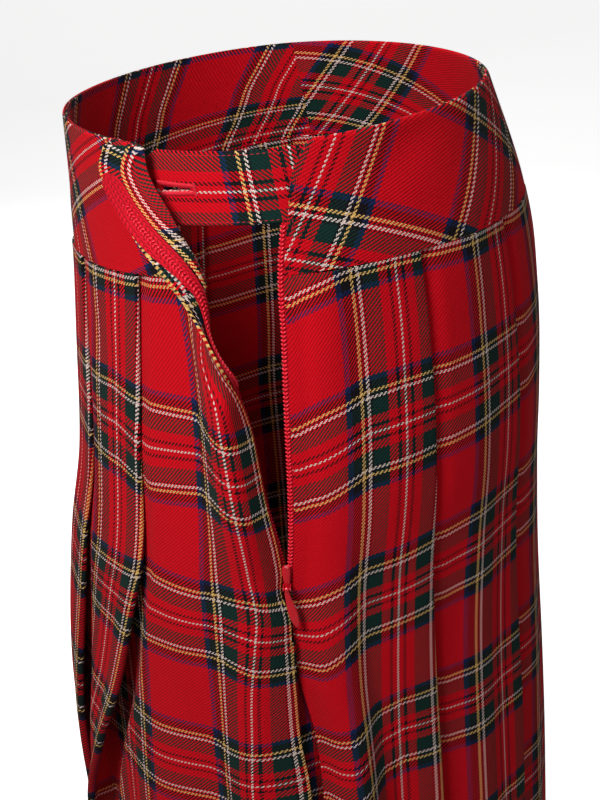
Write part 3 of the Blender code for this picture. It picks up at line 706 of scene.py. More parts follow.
def mix_colour(tree, blend, factor, first, second):
    """The result of a Mix node for colours."""
    inputs = {0: factor, 6: first, 7: second}
    return node(tree, "ShaderNodeMix", inputs, data_type="RGBA", blend_type=blend).outputs[2]


def wave(tree, value, pitch):
    """A wave from 0 to 1 that repeats at this pitch of the value."""
    angle = calculate(tree, "MULTIPLY", value, math.tau / pitch)
    return calculate(tree, "MULTIPLY_ADD", calculate(tree, "SINE", angle), 0.5, 0.5)


def blended(tree, first, second, share):
    """Two heights added, the first with this share of the whole."""
    rest = calculate(tree, "MULTIPLY", second, 1.0 - share)
    return calculate(tree, "MULTIPLY_ADD", first, share, rest)


def new_group(name, kind, inputs, outputs):
    """A node group with its named inputs and outputs."""
    tree = bpy.data.node_groups.new(name, kind)
    for way, sockets in (("INPUT", inputs), ("OUTPUT", outputs)):
        for label, value in sockets.items():
            tree.interface.new_socket(label, in_out=way, socket_type="NodeSocket" + value)
    return tree


def thread_colour(tree, setts):
    """The colour of the thread at a place in the sett, mirrored about its pivots."""
    do = partial(calculate, tree)
    middle = do("FLOOR", do("MULTIPLY", setts, SETT_THREADS))
    middle = do("DIVIDE", do("ADD", middle, 0.5), SETT_THREADS)
    ramp = node(tree, "ShaderNodeValToRGB", {0: do("MULTIPLY", do("PINGPONG", middle, 0.5), 2.0)})
    ramp.color_ramp.interpolation = "CONSTANT"
    elements = ramp.color_ramp.elements
    elements.remove(elements[-1])
    for number, stripe in enumerate(STRIPES):
        place = stripe.start / (SETT / 2)
        element = elements[0] if number == 0 else elements.new(place)
        element.position = place
        element.color = (*stripe.colour, 1.0)
    return ramp


def make_twill_group():
    """Two-and-two twill of coloured threads: warp on top where the counts say so."""
    tree = new_group("tartan_twill", "ShaderNodeTree",
                     {"Warp setts": "Float", "Weft setts": "Float", "Painted groove shade": "Float"},
                     {"Color": "Color", "Height": "Float"})
    do = partial(calculate, tree)
    warp_setts, weft_setts, painted_groove_shade = node(tree, "NodeGroupInput").outputs[:3]
    warp = do("MULTIPLY", warp_setts, SETT_THREADS)
    weft = do("MULTIPLY", weft_setts, SETT_THREADS)
    count = do("ADD", do("FLOOR", warp), do("FLOOR", weft))
    on_top = do("LESS_THAN", do("FLOORED_MODULO", count, TWILL_REPEAT), TWILL_REPEAT / 2 - 0.5)
    warp_round = do("SINE", do("MULTIPLY", do("FRACT", warp), math.pi))
    weft_round = do("SINE", do("MULTIPLY", do("FRACT", weft), math.pi))
    thread_round = mix_float(tree, on_top, weft_round, warp_round)
    ridge = wave(tree, do("ADD", warp, weft), TWILL_REPEAT)
    height = blended(tree, thread_round, ridge, THREAD_HEIGHT_SHARE)
    colour = mix_colour(tree, "MIX", on_top, thread_colour(tree, weft_setts),
                        thread_colour(tree, warp_setts))
    # Painted shade: the thread colour is darkened where the height is low, in the dips between and along
    # the threads
    shade = do("MULTIPLY_ADD", height, painted_groove_shade, do("SUBTRACT", 1.0, painted_groove_shade))
    grey = node(tree, "ShaderNodeCombineColor", {0: shade, 1: shade, 2: shade})
    node(tree, "NodeGroupOutput",
         {"Color": mix_colour(tree, "MULTIPLY", 1.0, colour, grey), "Height": height})
    return tree


def thread_counts(tree):
    """The warp and the weft count of the UV map."""
    place = node(tree, "ShaderNodeUVMap", uv_map="threads")
    return node(tree, "ShaderNodeSeparateXYZ", {0: place}).outputs[:2]


def relief(tree, height, strength, distance):
    """Normals of a surface raised by a height."""
    return node(tree, "ShaderNodeBump",
                {"Strength": strength, "Distance": distance, "Height": height})


def make_tartan():
    """Matt red tartan twill with a slight nap."""
    material, tree, shader = new_material("tartan_twill")
    warp, weft = thread_counts(tree)
    # The weave's colour carries painted shade, 0.60 of it at the bottom of each dip
    weave = node(tree, "ShaderNodeGroup",
                 {"Warp setts": warp, "Weft setts": weft, "Painted groove shade": 0.60},
                 node_tree=make_twill_group())
    feed(tree, shader, {
        "Base Color": weave, "Roughness": 0.85, "Specular IOR Level": 0.06,
        "Sheen Weight": 0.025, "Sheen Roughness": 0.40, "Sheen Tint": (1.0, 0.45, 0.42, 1.0),
        "Normal": relief(tree, weave.outputs["Height"], 0.8, 0.00028)})
    return material


Finish = namedtuple("Finish", "slot material")
tartan = Finish("tartan", make_tartan())


def make_sheet(name, drops, lines, threads, thickness, shift=0.0, rounding=1.0,
               kept=True, finish=tartan):
    """Each row has its warp and weft counts. The rounding is a share of the thickness for each
    point, and faces that aren't kept leave a slit. The node's name is that of the piece without
    its last word.
    """
    shape = len(drops), len(lines[0])
    halves = np.broadcast_to(rounding, shape) * thickness / 2
    folded = [creased(line, drop) for drop, line in zip(drops, lines)]
    points = np.array([[row_points(drop, offset_line(line, shift + side * half))
                        for drop, line, half in zip(drops, folded, halves)]
                       for side in (1, -1)]).reshape(-1, 3)
    faces = shell_faces(np.broadcast_to(kept, (shape[0] - 1, shape[1] - 1)))
    used, faces = np.unique(faces, return_inverse=True)
    faces = faces.reshape(-1, 4)
    data = bpy.data.meshes.new(name)
    data.from_pydata(points[used].tolist(), [], faces.tolist())
    setts = np.moveaxis(np.array(threads), 1, 2).reshape(-1, 2) / SETT
    setts = np.tile(setts, (2, 1))[used][faces.ravel()]
    data.uv_layers.new(name="threads").data.foreach_set("uv", setts.ravel())
    piece = finished(name, data, finish.material, SHARP_FOLD)
    declare(piece, name.rpartition("_")[0])
    width, length, area = flat_size(drops, lines)


def pleated_sheet(name, drops, row):
    """A sheet whose rows give their line and warp threads, its weft sagging as the rings do."""
    rows = [row(drop) for drop in drops]
    make_sheet(name, drops, [line for line, _ in rows],
               [(warp, weft_threads(drop, line[:, 0])) for drop, (line, warp) in zip(drops, rows)],
               CLOTH)


panel_drops = np.linspace(SKIRT_START, HEM, PANEL_ROWS)
pleated_sheet("skirt_front_cloth", panel_drops, skirt_front_row)


# Pleated back panel
# The same twill in six knife pleats, from the zip round to the seam on the wearer's right side.
# The face beside the zip swells into a round flute below it.
BACK_FACES = (
    Face(0.0, 0.0865, 0.002, 0.006, 0.016, 0.29, 0.29, 0.25, 4.0),
    Face(0.0865, 0.1680, -0.003, 0.009, 0.007, 0.48, 0.34, 0.34, -6.0),
    Face(0.1680, 0.2510, 0.002, 0.007, 0.006, 0.45, 0.34, 0.34, 1.0),
    Face(0.2510, 0.3340, -0.003, 0.006, 0.009, 0.40, 0.34, 0.28, -2.0),
    Face(0.3340, 0.4170, 0.004, 0.008, 0.005, 0.50, 0.34, 0.34, 2.0),
    Face(0.4170, 0.5000, -0.002, 0.005, 0.006, 0.45, 0.34, 0.34, 0.0),
)
SLOPED_GAP = 0.0008
BACK_EDGE = Table(
    "drop edge edge_lift",
    (0.000, 0.0265, 0.0030), (0.012, 0.0172, 0.0030), (0.030, 0.0112, 0.0030),
    (0.062, 0.0038, 0.0030), (0.095, 0.0021, 0.0030), (0.135, 0.0008, 0.0030),
    (0.175, 0.0006, 0.0030), (0.215, 0.0006, 0.0029), (ZIP_END, 0.0006, 0.0026),
    (0.242, SLOPED_GAP, 0.0012), (0.260, SLOPED_GAP, 0.0), (0.290, 0.0035, 0.0),
    (0.3225, 0.0095, 0.0), (0.360, 0.0118, 0.0), (HEM, 0.0130, 0.0),
)


def edge_shaped(drop, visible):
    """The first face, moved to the edge of the opening and lifted where it has no underlay."""
    edge = BACK_EDGE.at(drop)
    single = single_share(drop)
    places = edge.edge + visible[:, 0] * (1 - edge.edge / visible[-1, 0])
    raised = np.maximum(visible[:, 1], edge.edge_lift)
    return np.stack([places, single * raised + (1 - single) * visible[:, 1]], axis=1)


def skirt_back_row(drop):
    """Line and warp threads of the back panel at a drop."""
    line, threads, hidden = pleated_line(drop, BACK_FACES, edge_shaped)
    last = np.vstack([hidden, [(BACK_FACES[-1].end * Ring(drop).perimeter, 0.0)]])
    return np.vstack([line, last]), np.concatenate([threads, threads_from(last, -1, 0.0)])


pleated_sheet("skirt_back_cloth", panel_drops, skirt_back_row)


# Underlay at the zip
# The inset of the same twill that makes the pleat under the end of the zip.
INSET_START = 0.260
INSET_ROWS = 90
INSET_REACH = ((-0.004, 0.0), (0.0, -0.0014), (0.006, -0.0040), (0.013, -0.0044), (0.019, -0.0036))


def inset_row(drop):
    """Line and warp threads of the inset: round the fold, back, and forward again."""
    ring = Ring(drop)
    pleat = PLEATS.at(drop)
    backward, forward = underlay_lines(ZIP_FACE.start * ring.perimeter, 0.0, pleat, ZIP_FACE)
    line = np.vstack([[(0.0, 2 * pleat.pitch)], backward, forward, INSET_REACH])
    return line, threads_from(line, 0, ZIP_EDGE_THREAD)


pleated_sheet("side_pleat_underlay_cloth", np.linspace(INSET_START, HEM, INSET_ROWS), inset_row)


# Yokes and facing
# Shaped pieces of the same twill, cut on the slant, with a facing inside the front one.
YOKE_CLOTH = 0.0014
YOKE_BACK_CLOTH = 0.0027
FACING_CLOTH = 0.0010
YOKE_LIFT = 0.0030
YOKE_BACK_LIFT = 0.00235
FACING_LIFT_BELOW = 0.0015
LAID_GAP = 0.00045
EDGE_ROWS = np.array((0.0, 0.0002, 0.0006, 0.0012))
EDGE_END = 0.002
EDGE_SHARE = 0.2
YOKE_ROWS = 42
YOKE_STEPS = 150
FACING_THREAD = 44.0
FACING_FIRST_WEFT = 50.0
# How the grain lies: the curve of the flat piece, and the threads at the waist and the zip line
# with their change for each metre round the waist and down the cloth
Grain = namedtuple("Grain", "curve warp warp_round warp_down weft weft_round weft_down")
FRONT_GRAIN = Grain(6.0, 65.0, 785.0, 2260.0, -103.0, -1800.0, 640.0)
BACK_GRAIN = Grain(0.40, -67.0, 1799.0, 1070.0, -80.5, -466.0, 1542.0)


def yoke_threads(grain, place, drop):
    """Warp and weft threads of a shaped piece, laid flat as part of a ring."""
    radius = grain.curve + drop
    run = radius * np.sin(place / radius)
    fall = radius * np.cos(place / radius) - grain.curve
    return (grain.warp + grain.warp_round * run + grain.warp_down * fall,
            grain.weft + grain.weft_round * run + grain.weft_down * fall)


def rounded(distance, radius):
    """Share of the full thickness at a distance from a rounded edge."""
    part = np.clip(np.asarray(distance) / radius, 0.0, 1.0)
    return np.maximum(np.sqrt(1.0 - (1.0 - part) ** 2), EDGE_SHARE)


def slanted(grain, lines):
    """Threads of each row of a yoke, from its grain."""
    return [yoke_threads(grain, line[0, 0] + line_length(line), drop)
            for drop, line in zip(yoke_drops, lines)]


def yoke_sheet(name, lines, threads, thickness, shift=0.0):
    """A sheet of the yoke with its waist edge rounded."""
    make_sheet(name, yoke_drops, lines, threads, thickness, shift,
               rounded(yoke_drops, thickness)[:, None])


def level_line(places, lift):
    """A line at one lift."""
    return np.stack([places, np.full_like(places, lift)], axis=1)


def yoke_front_line(drop):
    """Front yoke: round the front to the crease, then rolled out with the opening's edge."""
    ring = Ring(drop)
    roll = roll_line(drop, YOKE_LIFT)
    places = np.linspace(-ring.perimeter / 2, roll[0, 0], YOKE_STEPS + 1)[:-1]
    return np.vstack([level_line(places, YOKE_LIFT), roll])


def yoke_back_line(drop):
    """Back yoke: from the back edge of the opening round to the right side seam."""
    ring = Ring(drop)
    edge = BACK_EDGE.at(drop)
    places = np.linspace(edge.edge, ring.perimeter / 2, YOKE_STEPS + 1)
    return level_line(places, YOKE_BACK_LIFT)


def facing_line(drop):
    """The facing inside the front yoke stops where the zip tape begins."""
    line = yoke_front_line(drop)[:-TAPE_STEPS]
    last = line[-1] - line[-2]
    line[-1] -= last / np.linalg.norm(last) * LAID_GAP
    return line


yoke_drops = np.concatenate([EDGE_ROWS, np.linspace(EDGE_END, YOKE_DEPTH, YOKE_ROWS)])
front_lines = [yoke_front_line(drop) for drop in yoke_drops]
yoke_sheet("yoke_front_cloth", front_lines, slanted(FRONT_GRAIN, front_lines), YOKE_CLOTH)
back_lines = [yoke_back_line(drop) for drop in yoke_drops]
yoke_sheet("yoke_back_cloth", back_lines, slanted(BACK_GRAIN, back_lines), YOKE_BACK_CLOTH)
facing_lines = [facing_line(drop) for drop in yoke_drops]
edge_points = np.array([row_points(drop, line)[-1] for drop, line in zip(yoke_drops, facing_lines)])
facing_threads = []
for run, line in zip(line_length(edge_points), facing_lines):
    length = line_length(line)
    facing_threads.append((FACING_THREAD - (length[-1] - length) / WARP_UNIT,
                           np.full_like(length, FACING_FIRST_WEFT + run / WEFT_UNIT)))
yoke_sheet("yoke_facing_front_cloth", facing_lines, facing_threads, FACING_CLOTH,
           -FACING_LIFT_BELOW)


# Stitching of the back edge
# One row of red thread holds the turned edge of the back yoke beside the opening. The stitches,
# as all others here, are small rounded strands set at even steps along a path on the cloth.
STITCH_SIDES = 6
STITCH_RINGS = 4
EDGE_STITCH_IN = 0.0022
EDGE_STITCH_TOP = 0.0015
EDGE_STITCH_END = YOKE_DEPTH - 0.001
EDGE_STITCH_POINTS = 40
OUTWARD = 0.001
TOPSTITCH_STEP = 0.0026
TOPSTITCH_SIZE = (0.0020, 0.00040, 0.00032)
THREAD_RED = (0.50, 0.006, 0.018)


def make_stitch_tree():
    """Strands along a path: turned to it, standing out of the cloth, and made a plain mesh."""
    tree = new_group("thread_stitches", "GeometryNodeTree",
                     {"Path": "Geometry", "Spacing": "Float", "Size": "Vector", "Slant": "Float",
                      "Thread": "Material"}, {"Stitches": "Geometry"})
    add = partial(node, tree)
    given = add("NodeGroupInput").outputs
    path = add("GeometryNodeMeshToCurve", {"Mesh": given["Path"]})
    steps = add("GeometryNodeResampleCurve", mode="LENGTH")
    feed(tree, steps, {"Curve": path, "Length": given["Spacing"]})
    strand = add("GeometryNodeMeshUVSphere",
                 {"Segments": STITCH_SIDES, "Rings": STITCH_RINGS, "Radius": 0.5})
    out = add("GeometryNodeInputNamedAttribute", {"Name": "out"}, data_type="FLOAT_VECTOR")
    align = "FunctionNodeAlignRotationToVector"
    stand = add(align, {"Vector": out.outputs["Attribute"]}, axis="Z")
    follow = add(align, {"Rotation": stand, "Vector": add("GeometryNodeInputTangent")},
                 axis="X", pivot_axis="Z")
    spin = add("FunctionNodeAxisAngleToRotation", {"Axis": (0.0, 0.0, 1.0), "Angle": given["Slant"]})
    turned = add("FunctionNodeRotateRotation", {"Rotation": follow, "Rotate By": spin},
                 rotation_space="LOCAL")
    place = add("GeometryNodeInstanceOnPoints",
                {"Points": steps, "Instance": strand, "Rotation": turned, "Scale": given["Size"]})
    solid = add("GeometryNodeRealizeInstances", {"Geometry": place})
    finish = add("GeometryNodeSetMaterial", {"Geometry": solid, "Material": given["Thread"]})
    add("NodeGroupOutput", {"Stitches": finish})
    return tree


stitch_tree = make_stitch_tree()
Stitch = namedtuple("Stitch", "spacing size thread slot")


def sew(name, paths, stitch, slant=0.0):
    """Stitches along paths of (points, outward directions), as one mesh on the skirt."""
    points = np.concatenate([path for path, _ in paths])
    outward = np.concatenate([out for _, out in paths])
    edges = []
    first = 0
    for path, _ in paths:
        edges += [(first + step, first + step + 1) for step in range(len(path) - 1)]
        first += len(path)
    data = bpy.data.meshes.new(name + "_path")
    data.from_pydata(points.tolist(), edges, [])
    data.attributes.new("out", "FLOAT_VECTOR", "POINT").data.foreach_set("vector", outward.ravel())
    guide = link(name + "_path", data)
    modifier = guide.modifiers.new("stitches", "NODES")
    modifier.node_group = stitch_tree
    values = {"Spacing": stitch.spacing, "Size": stitch.size, "Slant": slant,
              "Thread": stitch.thread}
    for item in stitch_tree.interface.items_tree:
        if item.name in values:
            modifier[item.identifier] = values[item.name]
    evaluated = guide.evaluated_get(bpy.context.evaluated_depsgraph_get())
    mesh = bpy.data.meshes.new_from_object(evaluated)
    mesh.name = name
    mesh.shade_smooth()
    bpy.data.objects.remove(guide)
    stitches = link(name, mesh)
    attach(stitches, "skirt")


def outward_path(drops, pairs):
    """World points of a path and the directions out of the cloth, from two points of each row."""
    points = np.array([row_points(drop, pair) for drop, pair in zip(drops, pairs)])
    return points[:, 0], points[:, 1] - points[:, 0]


def seam_path(drops, lines, distances, depth, up):
    """A path down the cloth, at a distance along each line, on its side that is `up`."""
    pairs = []
    for drop, line, distance in zip(drops, lines, distances):
        line = creased(line, drop)
        pairs.append(np.vstack([points_along(offset_line(line, level), [distance])
                                for level in (depth, depth + up)]))
    return outward_path(drops, pairs)


def object_noise(tree, scale, detail=2.0):
    """Noise that is fixed to the piece."""
    place = node(tree, "ShaderNodeTexCoord")
    return node(tree, "ShaderNodeTexNoise",
                {"Vector": place.outputs["Object"], "Scale": scale, "Detail": detail})


def tinted(tree, height, colour, share):
    """The colour at height 1, and this share of it at height 0."""
    low = tuple(channel * share for channel in colour)
    return mix_colour(tree, "MIX", height, (*low, 1.0), (*colour, 1.0))


def make_thread(name, colour, roughness):
    """Sewing thread: twisted strands, with painted shade in their low parts that leaves them lighter on
    their crests.
    """
    material, tree, shader = new_material(name)
    strands = object_noise(tree, 2600.0)
    feed(tree, shader, {
        # Painted shade: the strand noise that raises the relief also darkens the colour where it is low,
        # down to 0.6 of it
        "Base Color": tinted(tree, strands, colour, 0.6), "Roughness": roughness,
        "Specular IOR Level": 0.25, "Normal": relief(tree, strands, 0.4, 0.0001)})
    return material


red_thread = make_thread("red_thread", THREAD_RED, roughness=0.7)
topstitch = Stitch(TOPSTITCH_STEP, TOPSTITCH_SIZE, red_thread, "tartan")
edge_drops = np.linspace(EDGE_STITCH_TOP, EDGE_STITCH_END, EDGE_STITCH_POINTS)
edge_lines = [yoke_back_line(drop) for drop in edge_drops]
edge_distances = np.full(EDGE_STITCH_POINTS, EDGE_STITCH_IN)
sew("back_edge_stitches",
    [seam_path(edge_drops, edge_lines, edge_distances, YOKE_BACK_CLOTH / 2, OUTWARD)], topstitch)


# Waist tab
# A doubled strip of the same twill, cut on the other grain. Its free end has cut corners and a
# worked buttonhole. It crosses the opening inside and is sewn under the back yoke.
TAB_CLOTH = 0.0020
TAB_LIFT = -0.0006
TAB_FRONT = -0.0635
TAB_BACK = 0.042
TAB_TOP = 0.0030
TAB_BOTTOM = 0.0380
TAB_CUT_RUN = 0.0140
TAB_CUT_DROP = 0.0075
TAB_CUT_REACH = 0.034
TAB_COLUMNS = 110
TAB_ROWS = 13
TAB_PIVOT = 0.0168
TAB_MIDDLE = 0.0218
TAB_UNIT = 0.00056
TAB_STITCH_IN = 0.0018
TAB_STITCH_START = 0.016
TAB_STITCH_POINTS = 60
HOLE_MIDDLE = 0.02065
HOLE_ROWS = (-0.0014, -0.0010, -0.0006, -0.0002, 0.0002, 0.0006, 0.0010, 0.0014)
HOLE_CLOSED = 0.0003
HOLE_WIDE = 0.0014
HOLE_START = -0.0517
HOLE_END = -0.0322
BAR_OUT = 0.0013
BAR_POINTS = 30
BAR_PAST_HOLE = 0.0004
BAR_STEP = 0.00050
BAR_SIZE = (0.00054, 0.0027, 0.00110)
END_BAR_SIZE = (0.00054, 0.0021, 0.00130)
END_BAR_HALF = 0.0029
END_BAR_POINTS = 12
END_BAR_PLACE = HOLE_END + 0.0009
# The bars' own red thread, set lighter than the cloth's red as a painted highlight on them
BAR_RED_AND_HIGHLIGHT = (0.64, 0.014, 0.034)


def tab_line(drop):
    """One row of the tab, from its cut end to the end under the back yoke."""
    places = np.concatenate([TAB_FRONT + EDGE_ROWS,
                             np.linspace(TAB_FRONT + EDGE_END, TAB_BACK, TAB_COLUMNS)])
    corner = max(TAB_TOP + TAB_CUT_DROP - drop, drop - TAB_BOTTOM + TAB_CUT_DROP, 0.0)
    cut = corner / TAB_CUT_DROP * TAB_CUT_RUN
    places = places + cut * (1.0 - (places - TAB_FRONT) / TAB_CUT_REACH).clip(0.0, 1.0)
    return level_line(places, TAB_LIFT)


def hole_open(place):
    """How far the slit of the buttonhole is pulled open to each side of its middle."""
    share = np.clip((HOLE_END - place) / (HOLE_END - HOLE_START), 0.0, 1.0)
    return HOLE_CLOSED + (HOLE_WIDE - HOLE_CLOSED) * share


tab_drops = np.concatenate([
    TAB_TOP + EDGE_ROWS,
    np.linspace(TAB_TOP + EDGE_END, HOLE_MIDDLE - EDGE_END, TAB_ROWS),
    HOLE_MIDDLE + np.array(HOLE_ROWS),
    np.linspace(HOLE_MIDDLE + EDGE_END, TAB_BOTTOM - EDGE_END, TAB_ROWS),
    TAB_BOTTOM - EDGE_ROWS[::-1]])
tab_lines = [tab_line(drop) for drop in tab_drops]
tab_places = tab_lines[len(tab_lines) // 2][:, 0]
tab_rounding = np.minimum(
    rounded(np.minimum(tab_drops - TAB_TOP, TAB_BOTTOM - tab_drops), TAB_CLOTH / 2)[:, None],
    rounded(tab_places - TAB_FRONT, TAB_CLOTH / 2))
in_hole = (tab_places[:-1] >= HOLE_START) & (tab_places[1:] <= HOLE_END)
from_middle = np.abs((tab_drops[:-1] + tab_drops[1:]) / 2 - HOLE_MIDDLE)
slit = in_hole & (from_middle[:, None] < hole_open(tab_places[:-1]))
tab_threads = [((TAB_PIVOT - line[:, 0]) / TAB_UNIT,
                np.full(len(line), (drop - TAB_MIDDLE) / TAB_UNIT))
               for drop, line in zip(tab_drops, tab_lines)]
make_sheet("waist_tab_cloth", tab_drops, tab_lines, tab_threads, TAB_CLOTH,
           rounding=tab_rounding, kept=~slit)


def tab_path(drops, places):
    """A path on the outer face of the tab."""
    pairs = []
    for drop, place in zip(drops, places):
        point = creased(np.array([[place, TAB_LIFT + TAB_CLOTH / 2]]), drop)
        pairs.append(np.vstack([point, point + (0.0, OUTWARD)]))
    return outward_path(drops, pairs)


stitched = np.linspace(TAB_FRONT + TAB_STITCH_START, TAB_BACK, TAB_STITCH_POINTS)
sew("tab_edge_stitches",
    [tab_path(np.full(TAB_STITCH_POINTS, drop), stitched)
     for drop in (TAB_TOP + TAB_STITCH_IN, TAB_BOTTOM - TAB_STITCH_IN)], topstitch)
bar_thread = make_thread("bar_thread", BAR_RED_AND_HIGHLIGHT, roughness=0.55)
bar_places = np.linspace(HOLE_START - BAR_PAST_HOLE, HOLE_END + BAR_PAST_HOLE, BAR_POINTS)
sew("buttonhole_bars",
    [tab_path(HOLE_MIDDLE + side * (hole_open(bar_places) + BAR_OUT), bar_places)
     for side in (-1, 1)], Stitch(BAR_STEP, BAR_SIZE, bar_thread, "tartan"))
bar_drops = np.linspace(HOLE_MIDDLE - END_BAR_HALF, HOLE_MIDDLE + END_BAR_HALF, END_BAR_POINTS)
sew("buttonhole_end", [tab_path(bar_drops, np.full(END_BAR_POINTS, END_BAR_PLACE))],
    Stitch(BAR_STEP, END_BAR_SIZE, bar_thread, "tartan"))


# Button
# A flat moulded button with a low rim and four holes, sewn inside the front yoke where the
# buttonhole of the tab reaches it.
BUTTON_RADIUS = 0.0075
BUTTON_THICK = 0.0026
BUTTON_DROP = 0.0205
BUTTON_PLACE = -0.084
BUTTON_OUTER_LIFT = 0.0003
BUTTON_SIDES = 48
BUTTON_PROFILE = ((0.0, 0.62), (0.60, 0.62), (0.68, 0.70), (0.76, 0.96), (0.84, 1.0), (0.92, 0.96),
                  (0.98, 0.78), (1.0, 0.55), (0.99, 0.20), (0.94, 0.03), (0.88, 0.0), (0.0, 0.0))
BUTTON_HOLE = 0.0009
BUTTON_HOLE_OUT = 0.0016
BUTTON_HOLE_SIDES = 16
BUTTON_STITCH_LIFT = 0.72
BUTTON_STITCH_POINTS = 5
BUTTON_STITCH_STEP = 0.0008
BUTTON_STITCH_SIZE = (0.0018, 0.0006, 0.0005)
BUTTON_DARK = (0.26, 0.004, 0.010, 1.0)
BUTTON_LIGHT = (0.40, 0.008, 0.018, 1.0)
SHARP_EDGE = math.radians(50)


def ring_point(drop, place, lift):
    """World point at one place of a ring."""
    return Vector(Ring(drop).points(np.array([place]), np.array([lift]))[0])


def button_frame():
    """The place of the button's outer face and its turn, with Z inwards."""
    at = partial(ring_point, lift=BUTTON_OUTER_LIFT)
    middle = at(BUTTON_DROP, BUTTON_PLACE)
    along = at(BUTTON_DROP, BUTTON_PLACE + BUTTON_RADIUS)
    along -= at(BUTTON_DROP, BUTTON_PLACE - BUTTON_RADIUS)
    down = at(BUTTON_DROP + BUTTON_RADIUS, BUTTON_PLACE)
    down -= at(BUTTON_DROP - BUTTON_RADIUS, BUTTON_PLACE)
    inward = along.cross(down).normalized()
    if inward.dot(middle) > 0:
        inward.negate()
    return Matrix.Translation(middle) @ inward.to_track_quat("Z", "Y").to_matrix().to_4x4()


def skinned(name, rings):
    """A closed mesh through rings of points, each end a single point or a flat face."""
    mesh = bmesh.new()
    rings = [[mesh.verts.new(point) for point in ring] for ring in rings]
    for low, high in zip(rings, rings[1:]):
        for step in range(max(len(low), len(high))):
            after = step + 1
            corners = (low[step % len(low)], low[after % len(low)],
                       high[after % len(high)], high[step % len(high)])
            mesh.faces.new(list(dict.fromkeys(corners)))
    for end in (rings[0], rings[-1]):
        if len(end) > 1:
            mesh.faces.new(end)
    bmesh.ops.recalc_face_normals(mesh, faces=mesh.faces)
    data = bpy.data.meshes.new(name)
    mesh.to_mesh(data)
    mesh.free()
    return data


def turned_mesh(name, profile, sides):
    """A closed round mesh about Z through (radius, height) points that start and end at 0."""
    angles = [math.tau * step / sides for step in range(sides)]
    return skinned(name, [[(radius * math.cos(angle), radius * math.sin(angle), height)
                           for angle in (angles if radius else angles[:1])]
                          for radius, height in profile])


def make_button_plastic():
    """Dark red moulded plastic with a faint mottle and fine scratches."""
    material, tree, shader = new_material("button_plastic")
    mottle = object_noise(tree, 380.0)
    feed(tree, shader, {"Base Color": mix_colour(tree, "MIX", mottle, BUTTON_DARK, BUTTON_LIGHT),
                        "Roughness": calculate(tree, "MULTIPLY_ADD", mottle, 0.25, 0.18)})
    return material


disc_profile = [(radius * BUTTON_RADIUS, height * BUTTON_THICK) for radius, height in BUTTON_PROFILE]
disc = link("button_disc", turned_mesh("button_disc", disc_profile, BUTTON_SIDES))
drill_profile = [(0.0, -BUTTON_THICK), (BUTTON_HOLE, -BUTTON_THICK),
                 (BUTTON_HOLE, 2 * BUTTON_THICK), (0.0, 2 * BUTTON_THICK)]
drills = []
for across, over in ((-1, -1), (-1, 1), (1, -1), (1, 1)):
    drill = link("button_drill", turned_mesh("button_drill", drill_profile, BUTTON_HOLE_SIDES))
    drill.data.transform(Matrix.Translation((BUTTON_HOLE_OUT * across, BUTTON_HOLE_OUT * over, 0.0)))
    cut = disc.modifiers.new(drill.name, "BOOLEAN")
    cut.operation = "DIFFERENCE"
    cut.solver = "EXACT"
    cut.object = drill
    drills.append(drill)
button_mesh = bpy.data.meshes.new_from_object(
    disc.evaluated_get(bpy.context.evaluated_depsgraph_get()))
for used_up in [disc, *drills]:
    bpy.data.objects.remove(used_up)
button_place = button_frame()
button_mesh.transform(button_place)
button = finished("tab_button_moulded", button_mesh, make_button_plastic(), SHARP_EDGE)
declare(button, "tab_button")
button_out = button_place.to_3x3() @ Vector((0.0, 0.0, 1.0))
thread_paths = []
for side in (-1, 1):
    places = np.linspace(-BUTTON_HOLE_OUT, BUTTON_HOLE_OUT, BUTTON_STITCH_POINTS)
    line = [button_place @ Vector((side * BUTTON_HOLE_OUT, place, BUTTON_THICK * BUTTON_STITCH_LIFT))
            for place in places]
    thread_paths.append((np.array(line), np.array([button_out] * BUTTON_STITCH_POINTS)))
sew("button_stitches", thread_paths,
    Stitch(BUTTON_STITCH_STEP, BUTTON_STITCH_SIZE, red_thread, "button"))


# Zip tapes
# Two knitted red tapes with a moulded coil on their edges. The front tape lies on the turned-out
# edge of the opening, its top end rounded. The back tape stands a little past the back edge.
TAPE_CLOTH = 0.0008
TAPE_GAP = 0.0007
TAPE_TOP = 0.0125
TAPE_ROUND = 0.0065
TAPE_REACH = Table(
    "drop reach",
    (0.012, 0.0), (0.040, -0.0010), (0.052, -0.0038), (0.062, -0.0058), (0.074, -0.0045),
    (0.088, -0.0005), (0.104, 0.0022), (0.135, 0.0024), (0.229, 0.0024),
)
TAPE_ROWS = 90
TAPE_COLUMNS = 12
TAPE_BACK_TOP = 0.0378
TAPE_BACK_REACH = 0.0025
TAPE_LONGER = 0.004
TAPE_SHIFT = -(YOKE_CLOTH / 2 + TAPE_GAP + TAPE_CLOTH / 2)
COIL_TOP = 0.026
COIL_EDGE_DROP = 0.110
COIL_END = SINGLE_END - 0.003
COIL_POINTS = 120
COIL_TOP_SHARE = 0.45
COIL_FROM_EDGE = 0.0012
COIL_STEP = 0.00200
COIL_SIZE = (0.00300, 0.00130, 0.00130)
COIL_TURNS = ((-0.001, math.radians(50)), (0.001, -math.radians(50)))
COIL_BACK_TURNS = ((0.0004, math.radians(50)), (0.0012, -math.radians(50)))
COLUMN_MILLIMETRES = 2.0
RIB_MILLIMETRES = 1.9
COLUMN_HEIGHT_SHARE = 0.4
TAPE_RED = (0.50, 0.003, 0.014)
COIL_RED = (0.64, 0.008, 0.024)


def tape_front_arc(drop):
    """The stretch of the rolled edge that the front tape covers, to its own edge."""
    if drop <= YOKE_DEPTH:
        line = roll_line(drop, YOKE_LIFT)[-TAPE_STEPS - 1:]
    else:
        line = zip_face_line(drop)[-TAPE_STEPS - 1:]
    run = line[-1] - line[-2]
    longer = np.vstack([line, line[-1] + run / np.linalg.norm(run) * TAPE_LONGER])
    end = line_length(line)[-1] + TAPE_REACH.at(drop).reach
    return points_along(longer, np.linspace(0.0, end, 2 * TAPE_STEPS))


